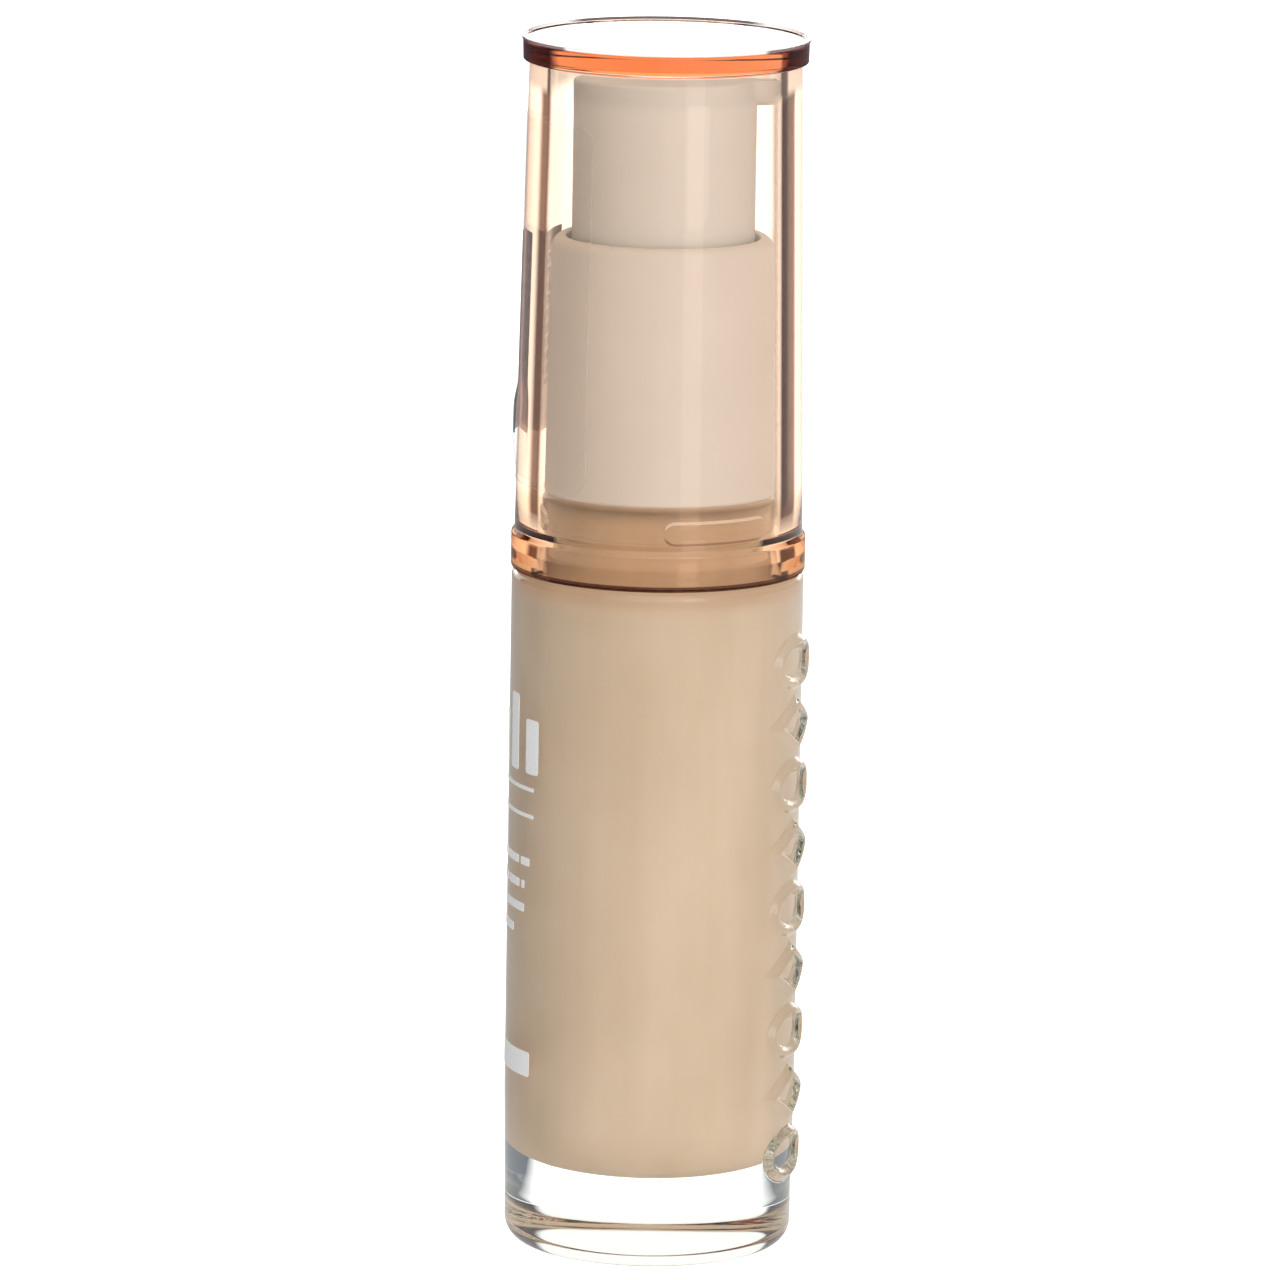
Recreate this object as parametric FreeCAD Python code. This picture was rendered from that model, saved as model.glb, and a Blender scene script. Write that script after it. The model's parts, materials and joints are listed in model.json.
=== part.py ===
"""Foundation bottle: clear glass bottle, treatment pump, ivory collar and tinted overcap.

Millimetres. Z is up and is the axis that every round piece turns about. The origin is the middle
of the bearing face that the bottle stands on. The printed front of the bottle faces -Y, and the
pump's nozzle points along +Y at rest. Each piece is one file in parts/.
"""

import FreeCAD, Part
import math
import os
from FreeCAD import Vector

os.makedirs("parts", exist_ok=True)

UP = Vector(0, 0, 1)
ORIGIN = Vector(0, 0, 0)

# Driving dimensions -------------------------------------------------------------------------------

TOTAL_HEIGHT = 125.8

# Glass bottle
BODY_R = 15.0
HEEL_R = 14.8
HEEL_ROUND = 2.4
TAPER_TOP_Z = 16.0
TAPER_FOOT_Z = 6.0
STAND_RING_R = 11.6
STAND_RING_ROUND = 0.5
PUSH_UP = 0.9
PUSH_UP_EDGE = 0.63
PUSH_UP_ROUND = 1.5
STAND_RING_WIDTH = 0.8
BODY_BORE_R = 12.8
FLOOR_Z = 8.8
FLOOR_ROUND = 4.0
SHOULDER_Z = 70.7
SHOULDER_ROUND = 0.9
BORE_SHOULDER_DROP = 2.4
BORE_SHOULDER_RISE = 0.8
BORE_NECK_DROP = 1.6
BORE_FINISH_RISE = 1.2
BORE_ROUND = 2.0
GROOVE_R = 11.65
GROOVE_ROUND = 0.4
NECK_R = 11.95
NECK_BEAD_Z = 74.8
NECK_TOP_Z = 78.9
NECK_ROUND = 0.6
NECK_BORE_R = 9.6
NECK_BEAD_ROUND = 0.15
LIP_Z = 91.9
LIP_ROUND = 0.5
FINISH_R = 7.75
FINISH_BORE_R = 5.6

# Snap lugs on the neck base, evenly spaced
LUG_COUNT = 3
LUG_R = 12.2
LUG_FIRST_AZIMUTH = 6.0
LUG_SPAN = 56.0
LUG_LOW_Z = 75.1
LUG_HIGH_Z = 77.6
LUG_ROUND = 0.2
LUG_SINK = 0.5

# Screw thread of the finish and of the closure
THREAD_PITCH = 3.175
THREAD_TURNS = 1.5
THREAD_START_Z = 83.4
THREAD_CREST_R = 8.7
THREAD_BASE_WIDTH = 1.9
THREAD_CREST_WIDTH = 1.0
THREAD_ROOT_SINK = 0.3
CLOSURE_RIDGE_R = 7.95
CLOSURE_RIDGE_BASE_WIDTH = 1.6
CLOSURE_RIDGE_CREST_WIDTH = 0.8

# Raised column up the side of the bottle
RELIEF_AZIMUTH = 167.0
RELIEF_COUNT = 9
RELIEF_LOW_Z = 10.4
RELIEF_PITCH = 6.45
RELIEF_HEIGHT = 0.75
RELIEF_HALF_WIDTH = 4.6
RELIEF_HALF_TALL = 2.75
RELIEF_STROKE = 1.15
RELIEF_SINK = 0.8
OVAL_STEPS = 28

# White print on the front of the glass: bars, wide across the front and centred on it
INK_THICKNESS = 0.04
INK_MARK_LOW_Z = 50.4
INK_MARK_HIGH_Z = 58.3
INK_MARK_COUNT = 6
INK_MARK_PITCH = 4.1
INK_MARK_WIDTH = 2.3
INK_MARK_DROP = 2.2
INK_LINE_HALF_WIDTH = 10.7
INK_LINES_Z = (49.0, 46.2)
INK_LINE_TALL = 0.4
INK_TEXT_TOP_Z = 41.6
INK_TEXT_PITCH = 2.45
INK_TEXT_TALL = 1.1
INK_TEXT_HALF_WIDTHS = (10.1, 9.1, 9.1, 6.5)
INK_FOOT_LOW_Z = 18.7
INK_FOOT_HIGH_Z = 21.3
INK_FOOT_HALF_WIDTH = 10.5
INK_FOOT_GAP = 0.8

# Overcap
CAP_DRAFT = 0.0178
CAP_REFERENCE_Z = 80.0
CAP_OUTER_R = 14.68
CAP_INNER_R = 12.45
CAP_FOOT_R = 15.1
CAP_FOOT_TOP_Z = 74.4
CAP_BEAD_R = 12.27
CAP_DISC_R = 14.55
CAP_RIM_R = 14.9
CAP_DISC_THICKNESS = 2.6
CAP_PLATE_THICKNESS = 2.5
CAP_ROOF_ROUND = 0.5
CAP_BEAD_RAMP_Z = 75.2
CAP_BEAD_HIGH_Z = 74.3
CAP_BEAD_LOW_Z = 72.5
CAP_BEAD_ROUND = 0.4
CAP_LEAD_IN = 0.3
CAP_LEAD_TOP_Z = 71.5
CAP_FOOT_ROUND = 0.3
CAP_FOOT_RAMP = 0.5
CAP_DISC_FLARE = 0.05
CAP_RIM_LOW_Z = 125.2
CAP_RIM_TALL = 0.25

# Clear label on the overcap
LABEL_THICKNESS = 0.1
LABEL_HALF_ANGLE = 65.0
LABEL_LOW_Z = 80.0
LABEL_HIGH_Z = 117.6
LABEL_CORNER = 1.5

# Pump head
HEAD_R = 9.35
HEAD_TOP_Z = 121.9
HEAD_FOOT_Z = 101.4
HEAD_WALL = 1.0
HEAD_ROOF = 1.3
HEAD_EDGE_ROUND = 0.5
HEAD_FOOT_ROUND = 0.2
HEAD_JOIN = 0.25
SPOUT_REACH = 11.6
SPOUT_HALF_WIDTH = 1.6
SPOUT_TALL = 2.8
SPOUT_FLARE = 2.4
SPOUT_ROOT_Y = 6.85
SPOUT_FLARE_Y = 8.05
SPOUT_NECK_Y = 10.05
NOZZLE_R = 0.7
NOZZLE_Z = 120.3
HEAD_SOCKET_R = 3.3
HEAD_SOCKET_FOOT_Z = 102.0
HEAD_CHANNEL_R = 1.2
HEAD_RIB_COUNT = 4
HEAD_RIB_THICKNESS = 0.8
HEAD_RIB_FOOT_Z = 106.0

# Collar sleeve
COLLAR_FOOT_Z = 79.0
COLLAR_TOP_Z = 105.4
COLLAR_FOOT_R = 11.75
COLLAR_TOP_R = 11.35
COLLAR_MOUTH_R = 9.88
COLLAR_ROOF = 1.2
COLLAR_STOP_LOW_Z = 95.1
COLLAR_STOP_THICKNESS = 1.0
COLLAR_STOP_R = 8.6
COLLAR_CHAMBER_R = 10.15
COLLAR_GRIP_R = 10.45
COLLAR_SNAP_R = 10.3
COLLAR_SNAP_GAP = 0.1
COLLAR_SNAP_RAMP = 0.3
COLLAR_FOOT_ROUND = 0.35
COLLAR_TOP_ROUND = 1.0
COLLAR_MOUTH_ROUND = 0.25

# Screw closure
CLOSURE_R = 10.2
CLOSURE_RIB_R = 10.4
CLOSURE_RIB_COUNT = 36
CLOSURE_RIB_WIDTH = 0.7
CLOSURE_FOOT_Z = 79.9
CLOSURE_BORE_R = 8.95
CLOSURE_ROOF = 1.2
CLOSURE_HOLE_R = 5.6
CLOSURE_FOOT_ROUND = 0.3
CLOSURE_TOP_ROUND = 0.5
CLOSURE_RIB_SINK = 0.3
CLOSURE_RIB_INSET = 1.0

# Edges of the small mouldings
SMALL_EDGE = 0.2
SOFT_EDGE = 0.3

# Gasket, pump housing and dip tube
GASKET_THICKNESS = 1.0
GASKET_R = 8.0
GASKET_HOLE_R = 5.2
FLANGE_R = 8.0
FLANGE_THICKNESS = 1.0
HOUSING_R = 4.9
HOUSING_BORE_R = 4.0
HOUSING_RIM_R = 5.4
HOUSING_RIM_TOP_Z = 95.25
HOUSING_STEP_Z = 74.7
HOUSING_CONE_LOW = 0.3
HOUSING_CONE_HIGH = 3.5
HOUSING_CONE_ROUND = 1.0
BALL_CHAMBER_R = 1.95
BALL_SEAT_Z = 71.0
INLET_R = 0.8
SOCKET_TOP_Z = 70.0
SOCKET_FOOT_Z = 62.0
SOCKET_R = 3.1
TUBE_R = 2.3
TUBE_BORE_R = 1.6
TUBE_FOOT_Z = 9.9
TUBE_CUT_ANGLE = 30.0
BALL_R = 1.5
BALL_SEAT_GAP = 0.012

# Moving core of the pump
RUNNING_GAP = 0.02
SEAT_THICKNESS = 1.2
SEAT_HOLE_COUNT = 3
SEAT_HOLE_R = 0.5
SEAT_HOLE_CIRCLE_R = 1.4
ROD_FLANGE_LOW_Z = 86.0
ROD_FLANGE_THICKNESS = 1.2
ROD_FLANGE_R = 3.3
ROD_NECK_R = 1.8
ROD_PILOT_R = 1.9
ROD_PILOT_ROUND = 0.5
ROD_PILOT_FOOT_Z = 82.5
ROD_SPIGOT_TOP_Z = 95.2
ROD_CHANNEL_R = 0.75
ROD_HOLE_R = 0.4
ROD_HOLE_COUNT = 2
PISTON_TALL = 4.3
PISTON_SHIFT = 0.7
PISTON_LIP = 0.5
PISTON_WAIST = 0.5
STEM_R = 2.1
STEM_BORE_R = 1.2
STEM_TOP_Z = 108.0
GUIDE_FOOT_Z = 92.3
GUIDE_FLANGE_R = 6.2
GUIDE_FLANGE_THICKNESS = 0.75
SPRING_MEAN_R = 3.0
SPRING_WIRE_R = 0.3
SPRING_TURNS = 7.0

# Liquid
FILL_TOP_Z = 80.6
FILL_GAP = 0.1
FILL_CONE_TOP_Z = 73.0

# Worked out from the above
CAP_FOOT_Z = SHOULDER_Z
CAP_DISC_LOW_Z = TOTAL_HEIGHT - CAP_DISC_THICKNESS
CAP_ROOF_Z = TOTAL_HEIGHT - CAP_PLATE_THICKNESS
FLANGE_LOW_Z = LIP_Z + GASKET_THICKNESS
FLANGE_TOP_Z = FLANGE_LOW_Z + FLANGE_THICKNESS
SEAT_TOP_Z = HOUSING_STEP_Z + SEAT_THICKNESS
ROD_FLANGE_TOP_Z = ROD_FLANGE_LOW_Z + ROD_FLANGE_THICKNESS
STEM_FOOT_Z = ROD_FLANGE_TOP_Z + PISTON_TALL + PISTON_SHIFT
PISTON_R = HOUSING_BORE_R - RUNNING_GAP


# Shape helpers ------------------------------------------------------------------------------------


def outline_face(corners):
    """A flat face in the XZ plane from (x, z) or (x, z, round) corners."""
    points = [Vector(corner[0], 0, corner[1]) for corner in corners]
    rounds = [corner[2] if len(corner) > 2 else 0.0 for corner in corners]
    arcs = []
    for i, point in enumerate(points):
        before = (points[i - 1] - point).normalize()
        after = (points[(i + 1) % len(points)] - point).normalize()
        turn = before.getAngle(after)
        if not rounds[i] or math.pi - turn < 1e-4:
            arcs.append((point, None, point))
            continue
        reach = rounds[i] / math.tan(turn / 2)
        bisector = (before + after).normalize()
        middle = point + bisector * (rounds[i] / math.sin(turn / 2) - rounds[i])
        arcs.append((point + before * reach, middle, point + after * reach))
    edges = []
    for i, (start, middle, end) in enumerate(arcs):
        if middle is not None:
            edges.append(Part.Arc(start, middle, end).toShape())
        following = arcs[(i + 1) % len(arcs)][0]
        if end.distanceToPoint(following) > 1e-6:
            edges.append(Part.LineSegment(end, following).toShape())
    return Part.Face(Part.Wire(edges))


def turned(corners, degrees=360.0):
    """A solid turned about Z from an outline of (radius, height, round) corners."""
    return outline_face(corners).revolve(ORIGIN, UP, degrees)


def ring(inner, outer, low, high):
    """A plain ring, or a disc where the inner radius is nothing."""
    solid = Part.makeCylinder(outer, high - low, Vector(0, 0, low))
    if inner:
        solid = solid.cut(Part.makeCylinder(inner, high - low, Vector(0, 0, low)))
    return solid


def azimuth_turn(shape, azimuth):
    """Turn a shape made on the -Y side to an azimuth, counted from -Y towards +X."""
    turned_shape = shape.copy()
    turned_shape.rotate(ORIGIN, UP, azimuth)
    return turned_shape


def around(shape, count, first=0.0):
    """Copies of a shape spaced evenly about Z."""
    return [azimuth_turn(shape, first + i * 360.0 / count) for i in range(count)]


def thread_ridge(root_r, crest_r, base_width, crest_width, start_z, turns):
    """A right-hand helical ridge from root_r to crest_r, inward or outward."""
    helix = Part.makeHelix(THREAD_PITCH, THREAD_PITCH * turns, root_r)
    section = Part.makePolygon(
        [
            Vector(root_r, 0, -base_width / 2),
            Vector(crest_r, 0, -crest_width / 2),
            Vector(crest_r, 0, crest_width / 2),
            Vector(root_r, 0, base_width / 2),
            Vector(root_r, 0, -base_width / 2),
        ]
    )
    ridge = Part.Wire(helix.Edges).makePipeShell([section], True, True)
    ridge.translate(Vector(0, 0, start_z))
    return ridge


def cap_outer_r(z):
    """Radius of the overcap's drafted outer wall."""
    return CAP_OUTER_R - (z - CAP_REFERENCE_Z) * CAP_DRAFT


def cap_inner_r(z):
    """Radius of the overcap's drafted inner wall."""
    return CAP_INNER_R - (z - CAP_REFERENCE_Z) * CAP_DRAFT


# Bottle -------------------------------------------------------------------------------------------


def bottle_inside(top_z):
    """Corners of the hollow of the glass, from the axis at the floor up to top_z."""
    return [
        (0, FLOOR_Z),
        (BODY_BORE_R, FLOOR_Z, FLOOR_ROUND),
        (BODY_BORE_R, SHOULDER_Z - BORE_SHOULDER_DROP, BORE_ROUND),
        (NECK_BORE_R, SHOULDER_Z + BORE_SHOULDER_RISE, BORE_ROUND),
        (NECK_BORE_R, NECK_TOP_Z - BORE_NECK_DROP, BORE_ROUND),
        (FINISH_BORE_R, NECK_TOP_Z + BORE_FINISH_RISE, BORE_ROUND / 2),
        (FINISH_BORE_R, top_z),
    ]


def bottle_body():
    """Body, neck base and finish of the glass as one turned solid."""
    outside = [
        (FINISH_R, LIP_Z, LIP_ROUND),
        (FINISH_R, NECK_TOP_Z, NECK_ROUND),
        (NECK_R, NECK_TOP_Z, NECK_ROUND),
        (NECK_R, NECK_BEAD_Z, NECK_BEAD_ROUND),
        (GROOVE_R, NECK_BEAD_Z - GROOVE_ROUND, GROOVE_ROUND),
        (GROOVE_R, SHOULDER_Z, GROOVE_ROUND),
        (BODY_R, SHOULDER_Z, SHOULDER_ROUND),
        (BODY_R, TAPER_TOP_Z),
        (HEEL_R, TAPER_FOOT_Z),
        (HEEL_R, 0, HEEL_ROUND),
        (STAND_RING_R, 0, STAND_RING_ROUND),
        (STAND_RING_R - STAND_RING_WIDTH, PUSH_UP_EDGE, PUSH_UP_ROUND),
        (0, PUSH_UP),
    ]
    return turned(bottle_inside(LIP_Z) + outside)


def snap_lug():
    """One low lug, centred on the -Y side, that holds the overcap's bead down."""
    corners = [
        (NECK_R - LUG_SINK, LUG_LOW_Z),
        (LUG_R, LUG_LOW_Z, LUG_ROUND),
        (LUG_R, LUG_HIGH_Z, LUG_ROUND),
        (NECK_R - LUG_SINK, LUG_HIGH_Z),
    ]
    lug = turned(corners, LUG_SPAN)
    lug.rotate(ORIGIN, UP, -90.0 - LUG_SPAN / 2)
    return lug


def relief_frame(loop_points):
    """A raised closed frame on the -Y side, from its middle line's (across, up) points."""
    front = -BODY_R - 2 * RELIEF_HEIGHT
    depth = RELIEF_HALF_WIDTH
    outer = [Vector(x, front, z) for x, z in loop_points(RELIEF_STROKE / 2)]
    inner = [Vector(x, front, z) for x, z in loop_points(-RELIEF_STROKE / 2)]
    plate = Part.Face(Part.makePolygon(outer + outer[:1]))
    hole = Part.Face(Part.makePolygon(inner + inner[:1]))
    return plate.cut(hole).extrude(Vector(0, depth, 0))


def oval_loop(grow):
    """Points of an oval grown or shrunk by a distance."""
    wide = RELIEF_HALF_WIDTH - RELIEF_STROKE / 2 + grow
    tall = RELIEF_HALF_TALL - RELIEF_STROKE / 2 + grow
    angles = [2 * math.pi * i / OVAL_STEPS for i in range(OVAL_STEPS)]
    return [(wide * math.cos(angle), tall * math.sin(angle)) for angle in angles]


def lozenge_loop(grow):
    """Points of a lozenge grown or shrunk by a distance."""
    wide = RELIEF_HALF_WIDTH - RELIEF_STROKE / 2
    tall = RELIEF_HALF_TALL - RELIEF_STROKE / 2
    slant = math.hypot(wide, tall)
    wide, tall = wide + grow * slant / tall, tall + grow * slant / wide
    return [(wide, 0), (0, tall), (-wide, 0), (0, -tall)]


def relief_column():
    """Oval and lozenge frames in turn, up the side of the glass."""
    skin = ring(BODY_R - RELIEF_SINK, BODY_R + RELIEF_HEIGHT, 0, SHOULDER_Z - SHOULDER_ROUND)
    figures = []
    for i in range(RELIEF_COUNT):
        figure = relief_frame(lozenge_loop if i % 2 else oval_loop)
        figure.translate(Vector(0, 0, RELIEF_LOW_Z + i * RELIEF_PITCH))
        figures.append(azimuth_turn(figure.common(skin), RELIEF_AZIMUTH))
    return figures


def glass_bottle():
    """The glass with its thread, snap lugs and relief column."""
    thread = thread_ridge(
        FINISH_R - THREAD_ROOT_SINK,
        THREAD_CREST_R,
        THREAD_BASE_WIDTH,
        THREAD_CREST_WIDTH,
        THREAD_START_Z,
        THREAD_TURNS,
    )
    lugs = around(snap_lug(), LUG_COUNT, LUG_FIRST_AZIMUTH)
    return bottle_body().fuse([thread] + lugs + relief_column()).removeSplitter()


def ink_bar(from_x, to_x, low_z, high_z):
    """A thin bar of ink on the body, between two distances around it from the front's middle."""
    start = math.degrees(from_x / BODY_R)
    sweep = math.degrees((to_x - from_x) / BODY_R)
    corners = [
        (BODY_R, low_z),
        (BODY_R + INK_THICKNESS, low_z),
        (BODY_R + INK_THICKNESS, high_z),
        (BODY_R, high_z),
    ]
    bar = turned(corners, sweep)
    bar.rotate(ORIGIN, UP, start - 90.0)
    return bar


def front_print():
    """White print: a row of upright bars, two thin lines, four short rows and a split foot row."""
    bars = []
    for i in range(INK_MARK_COUNT):
        middle = (i - (INK_MARK_COUNT - 1) / 2) * INK_MARK_PITCH
        drop = INK_MARK_DROP if i % 2 else 0.0
        left = middle - INK_MARK_WIDTH / 2
        bars.append(ink_bar(left, left + INK_MARK_WIDTH, INK_MARK_LOW_Z, INK_MARK_HIGH_Z - drop))
    for z in INK_LINES_Z:
        bars.append(ink_bar(-INK_LINE_HALF_WIDTH, INK_LINE_HALF_WIDTH, z - INK_LINE_TALL, z))
    for i, half_width in enumerate(INK_TEXT_HALF_WIDTHS):
        z = INK_TEXT_TOP_Z - i * INK_TEXT_PITCH
        bars.append(ink_bar(-half_width, half_width, z - INK_TEXT_TALL, z))
    for side in (-1, 1):
        near, far = side * INK_FOOT_GAP, side * INK_FOOT_HALF_WIDTH
        bars.append(ink_bar(min(near, far), max(near, far), INK_FOOT_LOW_Z, INK_FOOT_HIGH_Z))
    return Part.Compound(bars)


def foundation_fill():
    """The liquid, with the room that the pump and dip tube take up in it."""
    liquid = turned(bottle_inside(FILL_TOP_Z) + [(0, FILL_TOP_Z)])
    pump_room = turned(
        [
            (0, TUBE_FOOT_Z - FILL_GAP),
            (TUBE_R + FILL_GAP, TUBE_FOOT_Z - FILL_GAP),
            (TUBE_R + FILL_GAP, SOCKET_FOOT_Z - FILL_GAP),
            (SOCKET_R + FILL_GAP, SOCKET_FOOT_Z - FILL_GAP),
            (SOCKET_R + FILL_GAP, SOCKET_TOP_Z),
            (HOUSING_R + FILL_GAP, FILL_CONE_TOP_Z),
            (HOUSING_R + FILL_GAP, FILL_TOP_Z),
            (0, FILL_TOP_Z),
        ]
    )
    return liquid.cut(pump_room)


# Pump on the finish -------------------------------------------------------------------------------


def screw_closure():
    """Threaded closure with grip ribs, which clamps the pump's flange on the lip."""
    roof_top_z = FLANGE_TOP_Z + CLOSURE_ROOF
    shell = turned(
        [
            (CLOSURE_BORE_R, CLOSURE_FOOT_Z),
            (CLOSURE_R, CLOSURE_FOOT_Z, CLOSURE_FOOT_ROUND),
            (CLOSURE_R, roof_top_z, CLOSURE_TOP_ROUND),
            (CLOSURE_HOLE_R, roof_top_z),
            (CLOSURE_HOLE_R, FLANGE_TOP_Z),
            (CLOSURE_BORE_R, FLANGE_TOP_Z),
        ]
    )
    ridge = thread_ridge(
        CLOSURE_BORE_R + THREAD_ROOT_SINK,
        CLOSURE_RIDGE_R,
        CLOSURE_RIDGE_BASE_WIDTH,
        CLOSURE_RIDGE_CREST_WIDTH,
        THREAD_START_Z - THREAD_PITCH / 2,
        THREAD_TURNS,
    )
    rib = Part.makeBox(
        CLOSURE_RIB_WIDTH,
        CLOSURE_RIB_R - CLOSURE_R + CLOSURE_RIB_SINK,
        roof_top_z - CLOSURE_FOOT_Z - 2 * CLOSURE_RIB_INSET,
        Vector(-CLOSURE_RIB_WIDTH / 2, -CLOSURE_RIB_R, CLOSURE_FOOT_Z + CLOSURE_RIB_INSET),
    )
    return shell.fuse([ridge] + around(rib, CLOSURE_RIB_COUNT)).removeSplitter()


def collar_sleeve():
    """Tall ivory sleeve: grips the closure below, and lets the head sink in above."""
    stop_top_z = COLLAR_STOP_LOW_Z + COLLAR_STOP_THICKNESS
    roof_low_z = COLLAR_TOP_Z - COLLAR_ROOF
    snap_top_z = CLOSURE_FOOT_Z - COLLAR_SNAP_GAP
    return turned(
        [
            (COLLAR_SNAP_R, COLLAR_FOOT_Z),
            (COLLAR_FOOT_R, COLLAR_FOOT_Z, COLLAR_FOOT_ROUND),
            (COLLAR_TOP_R, COLLAR_TOP_Z, COLLAR_TOP_ROUND),
            (COLLAR_MOUTH_R, COLLAR_TOP_Z, COLLAR_MOUTH_ROUND),
            (COLLAR_MOUTH_R, roof_low_z),
            (COLLAR_CHAMBER_R, roof_low_z - (COLLAR_CHAMBER_R - COLLAR_MOUTH_R)),
            (COLLAR_CHAMBER_R, stop_top_z),
            (COLLAR_STOP_R, stop_top_z),
            (COLLAR_STOP_R, COLLAR_STOP_LOW_Z),
            (COLLAR_GRIP_R, COLLAR_STOP_LOW_Z),
            (COLLAR_GRIP_R, snap_top_z),
            (COLLAR_SNAP_R, snap_top_z - COLLAR_SNAP_RAMP),
        ]
    )


def neck_gasket():
    """Soft washer between the flange and the glass lip."""
    return turned(
        [
            (GASKET_HOLE_R, LIP_Z),
            (GASKET_R, LIP_Z, SMALL_EDGE),
            (GASKET_R, FLANGE_LOW_Z, SMALL_EDGE),
            (GASKET_HOLE_R, FLANGE_LOW_Z),
        ]
    )


def pump_housing():
    """Cylinder of the pump, with flange, rim, ball seat and dip tube socket."""
    seat_top_z = BALL_SEAT_Z + BALL_CHAMBER_R - INLET_R
    return turned(
        [
            (HOUSING_BORE_R, HOUSING_RIM_TOP_Z),
            (HOUSING_BORE_R, HOUSING_STEP_Z),
            (BALL_CHAMBER_R, HOUSING_STEP_Z),
            (BALL_CHAMBER_R, seat_top_z),
            (INLET_R, BALL_SEAT_Z),
            (INLET_R, SOCKET_TOP_Z),
            (TUBE_R, SOCKET_TOP_Z),
            (TUBE_R, SOCKET_FOOT_Z),
            (SOCKET_R, SOCKET_FOOT_Z, SMALL_EDGE),
            (SOCKET_R, SOCKET_TOP_Z + HOUSING_CONE_LOW, HOUSING_CONE_ROUND),
            (HOUSING_R, SOCKET_TOP_Z + HOUSING_CONE_HIGH, HOUSING_CONE_ROUND),
            (HOUSING_R, FLANGE_LOW_Z),
            (FLANGE_R, FLANGE_LOW_Z, SMALL_EDGE),
            (FLANGE_R, FLANGE_TOP_Z, SMALL_EDGE),
            (HOUSING_RIM_R, FLANGE_TOP_Z),
            (HOUSING_RIM_R, HOUSING_RIM_TOP_Z),
        ]
    )


def dip_tube():
    """Straight tube with its lower end cut on a slant."""
    tube = ring(TUBE_BORE_R, TUBE_R, TUBE_FOOT_Z, SOCKET_TOP_Z)
    size = 3 * TUBE_R
    cutter = Part.makeBox(2 * size, 2 * size, size, Vector(-size, -size, -size))
    cutter.rotate(ORIGIN, Vector(1, 0, 0), TUBE_CUT_ANGLE)
    rise = TUBE_R * math.tan(math.radians(TUBE_CUT_ANGLE))
    cutter.translate(Vector(0, 0, TUBE_FOOT_Z + rise))
    return tube.cut(cutter)


def inlet_ball():
    """Check-valve ball, resting on its seat."""
    centre_z = BALL_SEAT_Z - INLET_R + (BALL_R + BALL_SEAT_GAP) * math.sqrt(2)
    return Part.makeSphere(BALL_R, Vector(0, 0, centre_z))


def spring_seat():
    """Slotted disc on the housing's step: carries the spring and cages the ball."""
    disc = turned(
        [
            (0, HOUSING_STEP_Z),
            (PISTON_R, HOUSING_STEP_Z),
            (PISTON_R, SEAT_TOP_Z, SMALL_EDGE),
            (0, SEAT_TOP_Z),
        ]
    )
    hole = Part.makeCylinder(
        SEAT_HOLE_R, SEAT_THICKNESS, Vector(0, -SEAT_HOLE_CIRCLE_R, HOUSING_STEP_Z)
    )
    return disc.cut(Part.Compound(around(hole, SEAT_HOLE_COUNT)))


def return_spring():
    """Coil spring between the seat and the rod's flange."""
    low_z = SEAT_TOP_Z + SPRING_WIRE_R
    rise = ROD_FLANGE_LOW_Z - SPRING_WIRE_R - low_z
    helix = Part.makeLongHelix(rise / SPRING_TURNS, rise, SPRING_MEAN_R)
    slope = math.atan2(rise / SPRING_TURNS, 2 * math.pi * SPRING_MEAN_R)
    along = Vector(0, math.cos(slope), math.sin(slope))
    wire = Part.Wire(Part.makeCircle(SPRING_WIRE_R, Vector(SPRING_MEAN_R, 0, 0), along))
    spring = Part.Wire(helix.Edges).makePipeShell([wire], True, True)
    spring.translate(Vector(0, 0, low_z))
    return spring


def piston_rod():
    """Rod with the spring flange, a pilot below it and the valve holes above it."""
    rod = turned(
        [
            (0, ROD_PILOT_FOOT_Z),
            (ROD_PILOT_R, ROD_PILOT_FOOT_Z, ROD_PILOT_ROUND),
            (ROD_PILOT_R, ROD_FLANGE_LOW_Z),
            (ROD_FLANGE_R, ROD_FLANGE_LOW_Z, SMALL_EDGE),
            (ROD_FLANGE_R, ROD_FLANGE_TOP_Z, SMALL_EDGE),
            (ROD_NECK_R, ROD_FLANGE_TOP_Z),
            (ROD_NECK_R, STEM_FOOT_Z),
            (STEM_BORE_R, STEM_FOOT_Z),
            (STEM_BORE_R, ROD_SPIGOT_TOP_Z),
            (ROD_CHANNEL_R, ROD_SPIGOT_TOP_Z),
            (ROD_CHANNEL_R, ROD_FLANGE_TOP_Z),
            (0, ROD_FLANGE_TOP_Z),
        ]
    )
    hole_z = ROD_FLANGE_TOP_Z + ROD_HOLE_R
    hole = Part.makeCylinder(ROD_HOLE_R, 2 * ROD_NECK_R, Vector(0, 0, hole_z), Vector(0, -1, 0))
    return rod.cut(Part.Compound(around(hole, ROD_HOLE_COUNT)))


def piston():
    """Soft ring with a sealing lip at each end of its outer wall."""
    low_z = ROD_FLANGE_TOP_Z
    high_z = low_z + PISTON_TALL
    bore_r = ROD_NECK_R + RUNNING_GAP
    waist_r = PISTON_R - PISTON_WAIST
    return turned(
        [
            (bore_r, low_z),
            (PISTON_R - PISTON_LIP, low_z),
            (PISTON_R, low_z + PISTON_LIP),
            (waist_r, low_z + 2 * PISTON_LIP, SOFT_EDGE),
            (waist_r, high_z - 2 * PISTON_LIP, SOFT_EDGE),
            (PISTON_R, high_z - PISTON_LIP),
            (PISTON_R - PISTON_LIP, high_z),
            (bore_r, high_z),
        ]
    )


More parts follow.
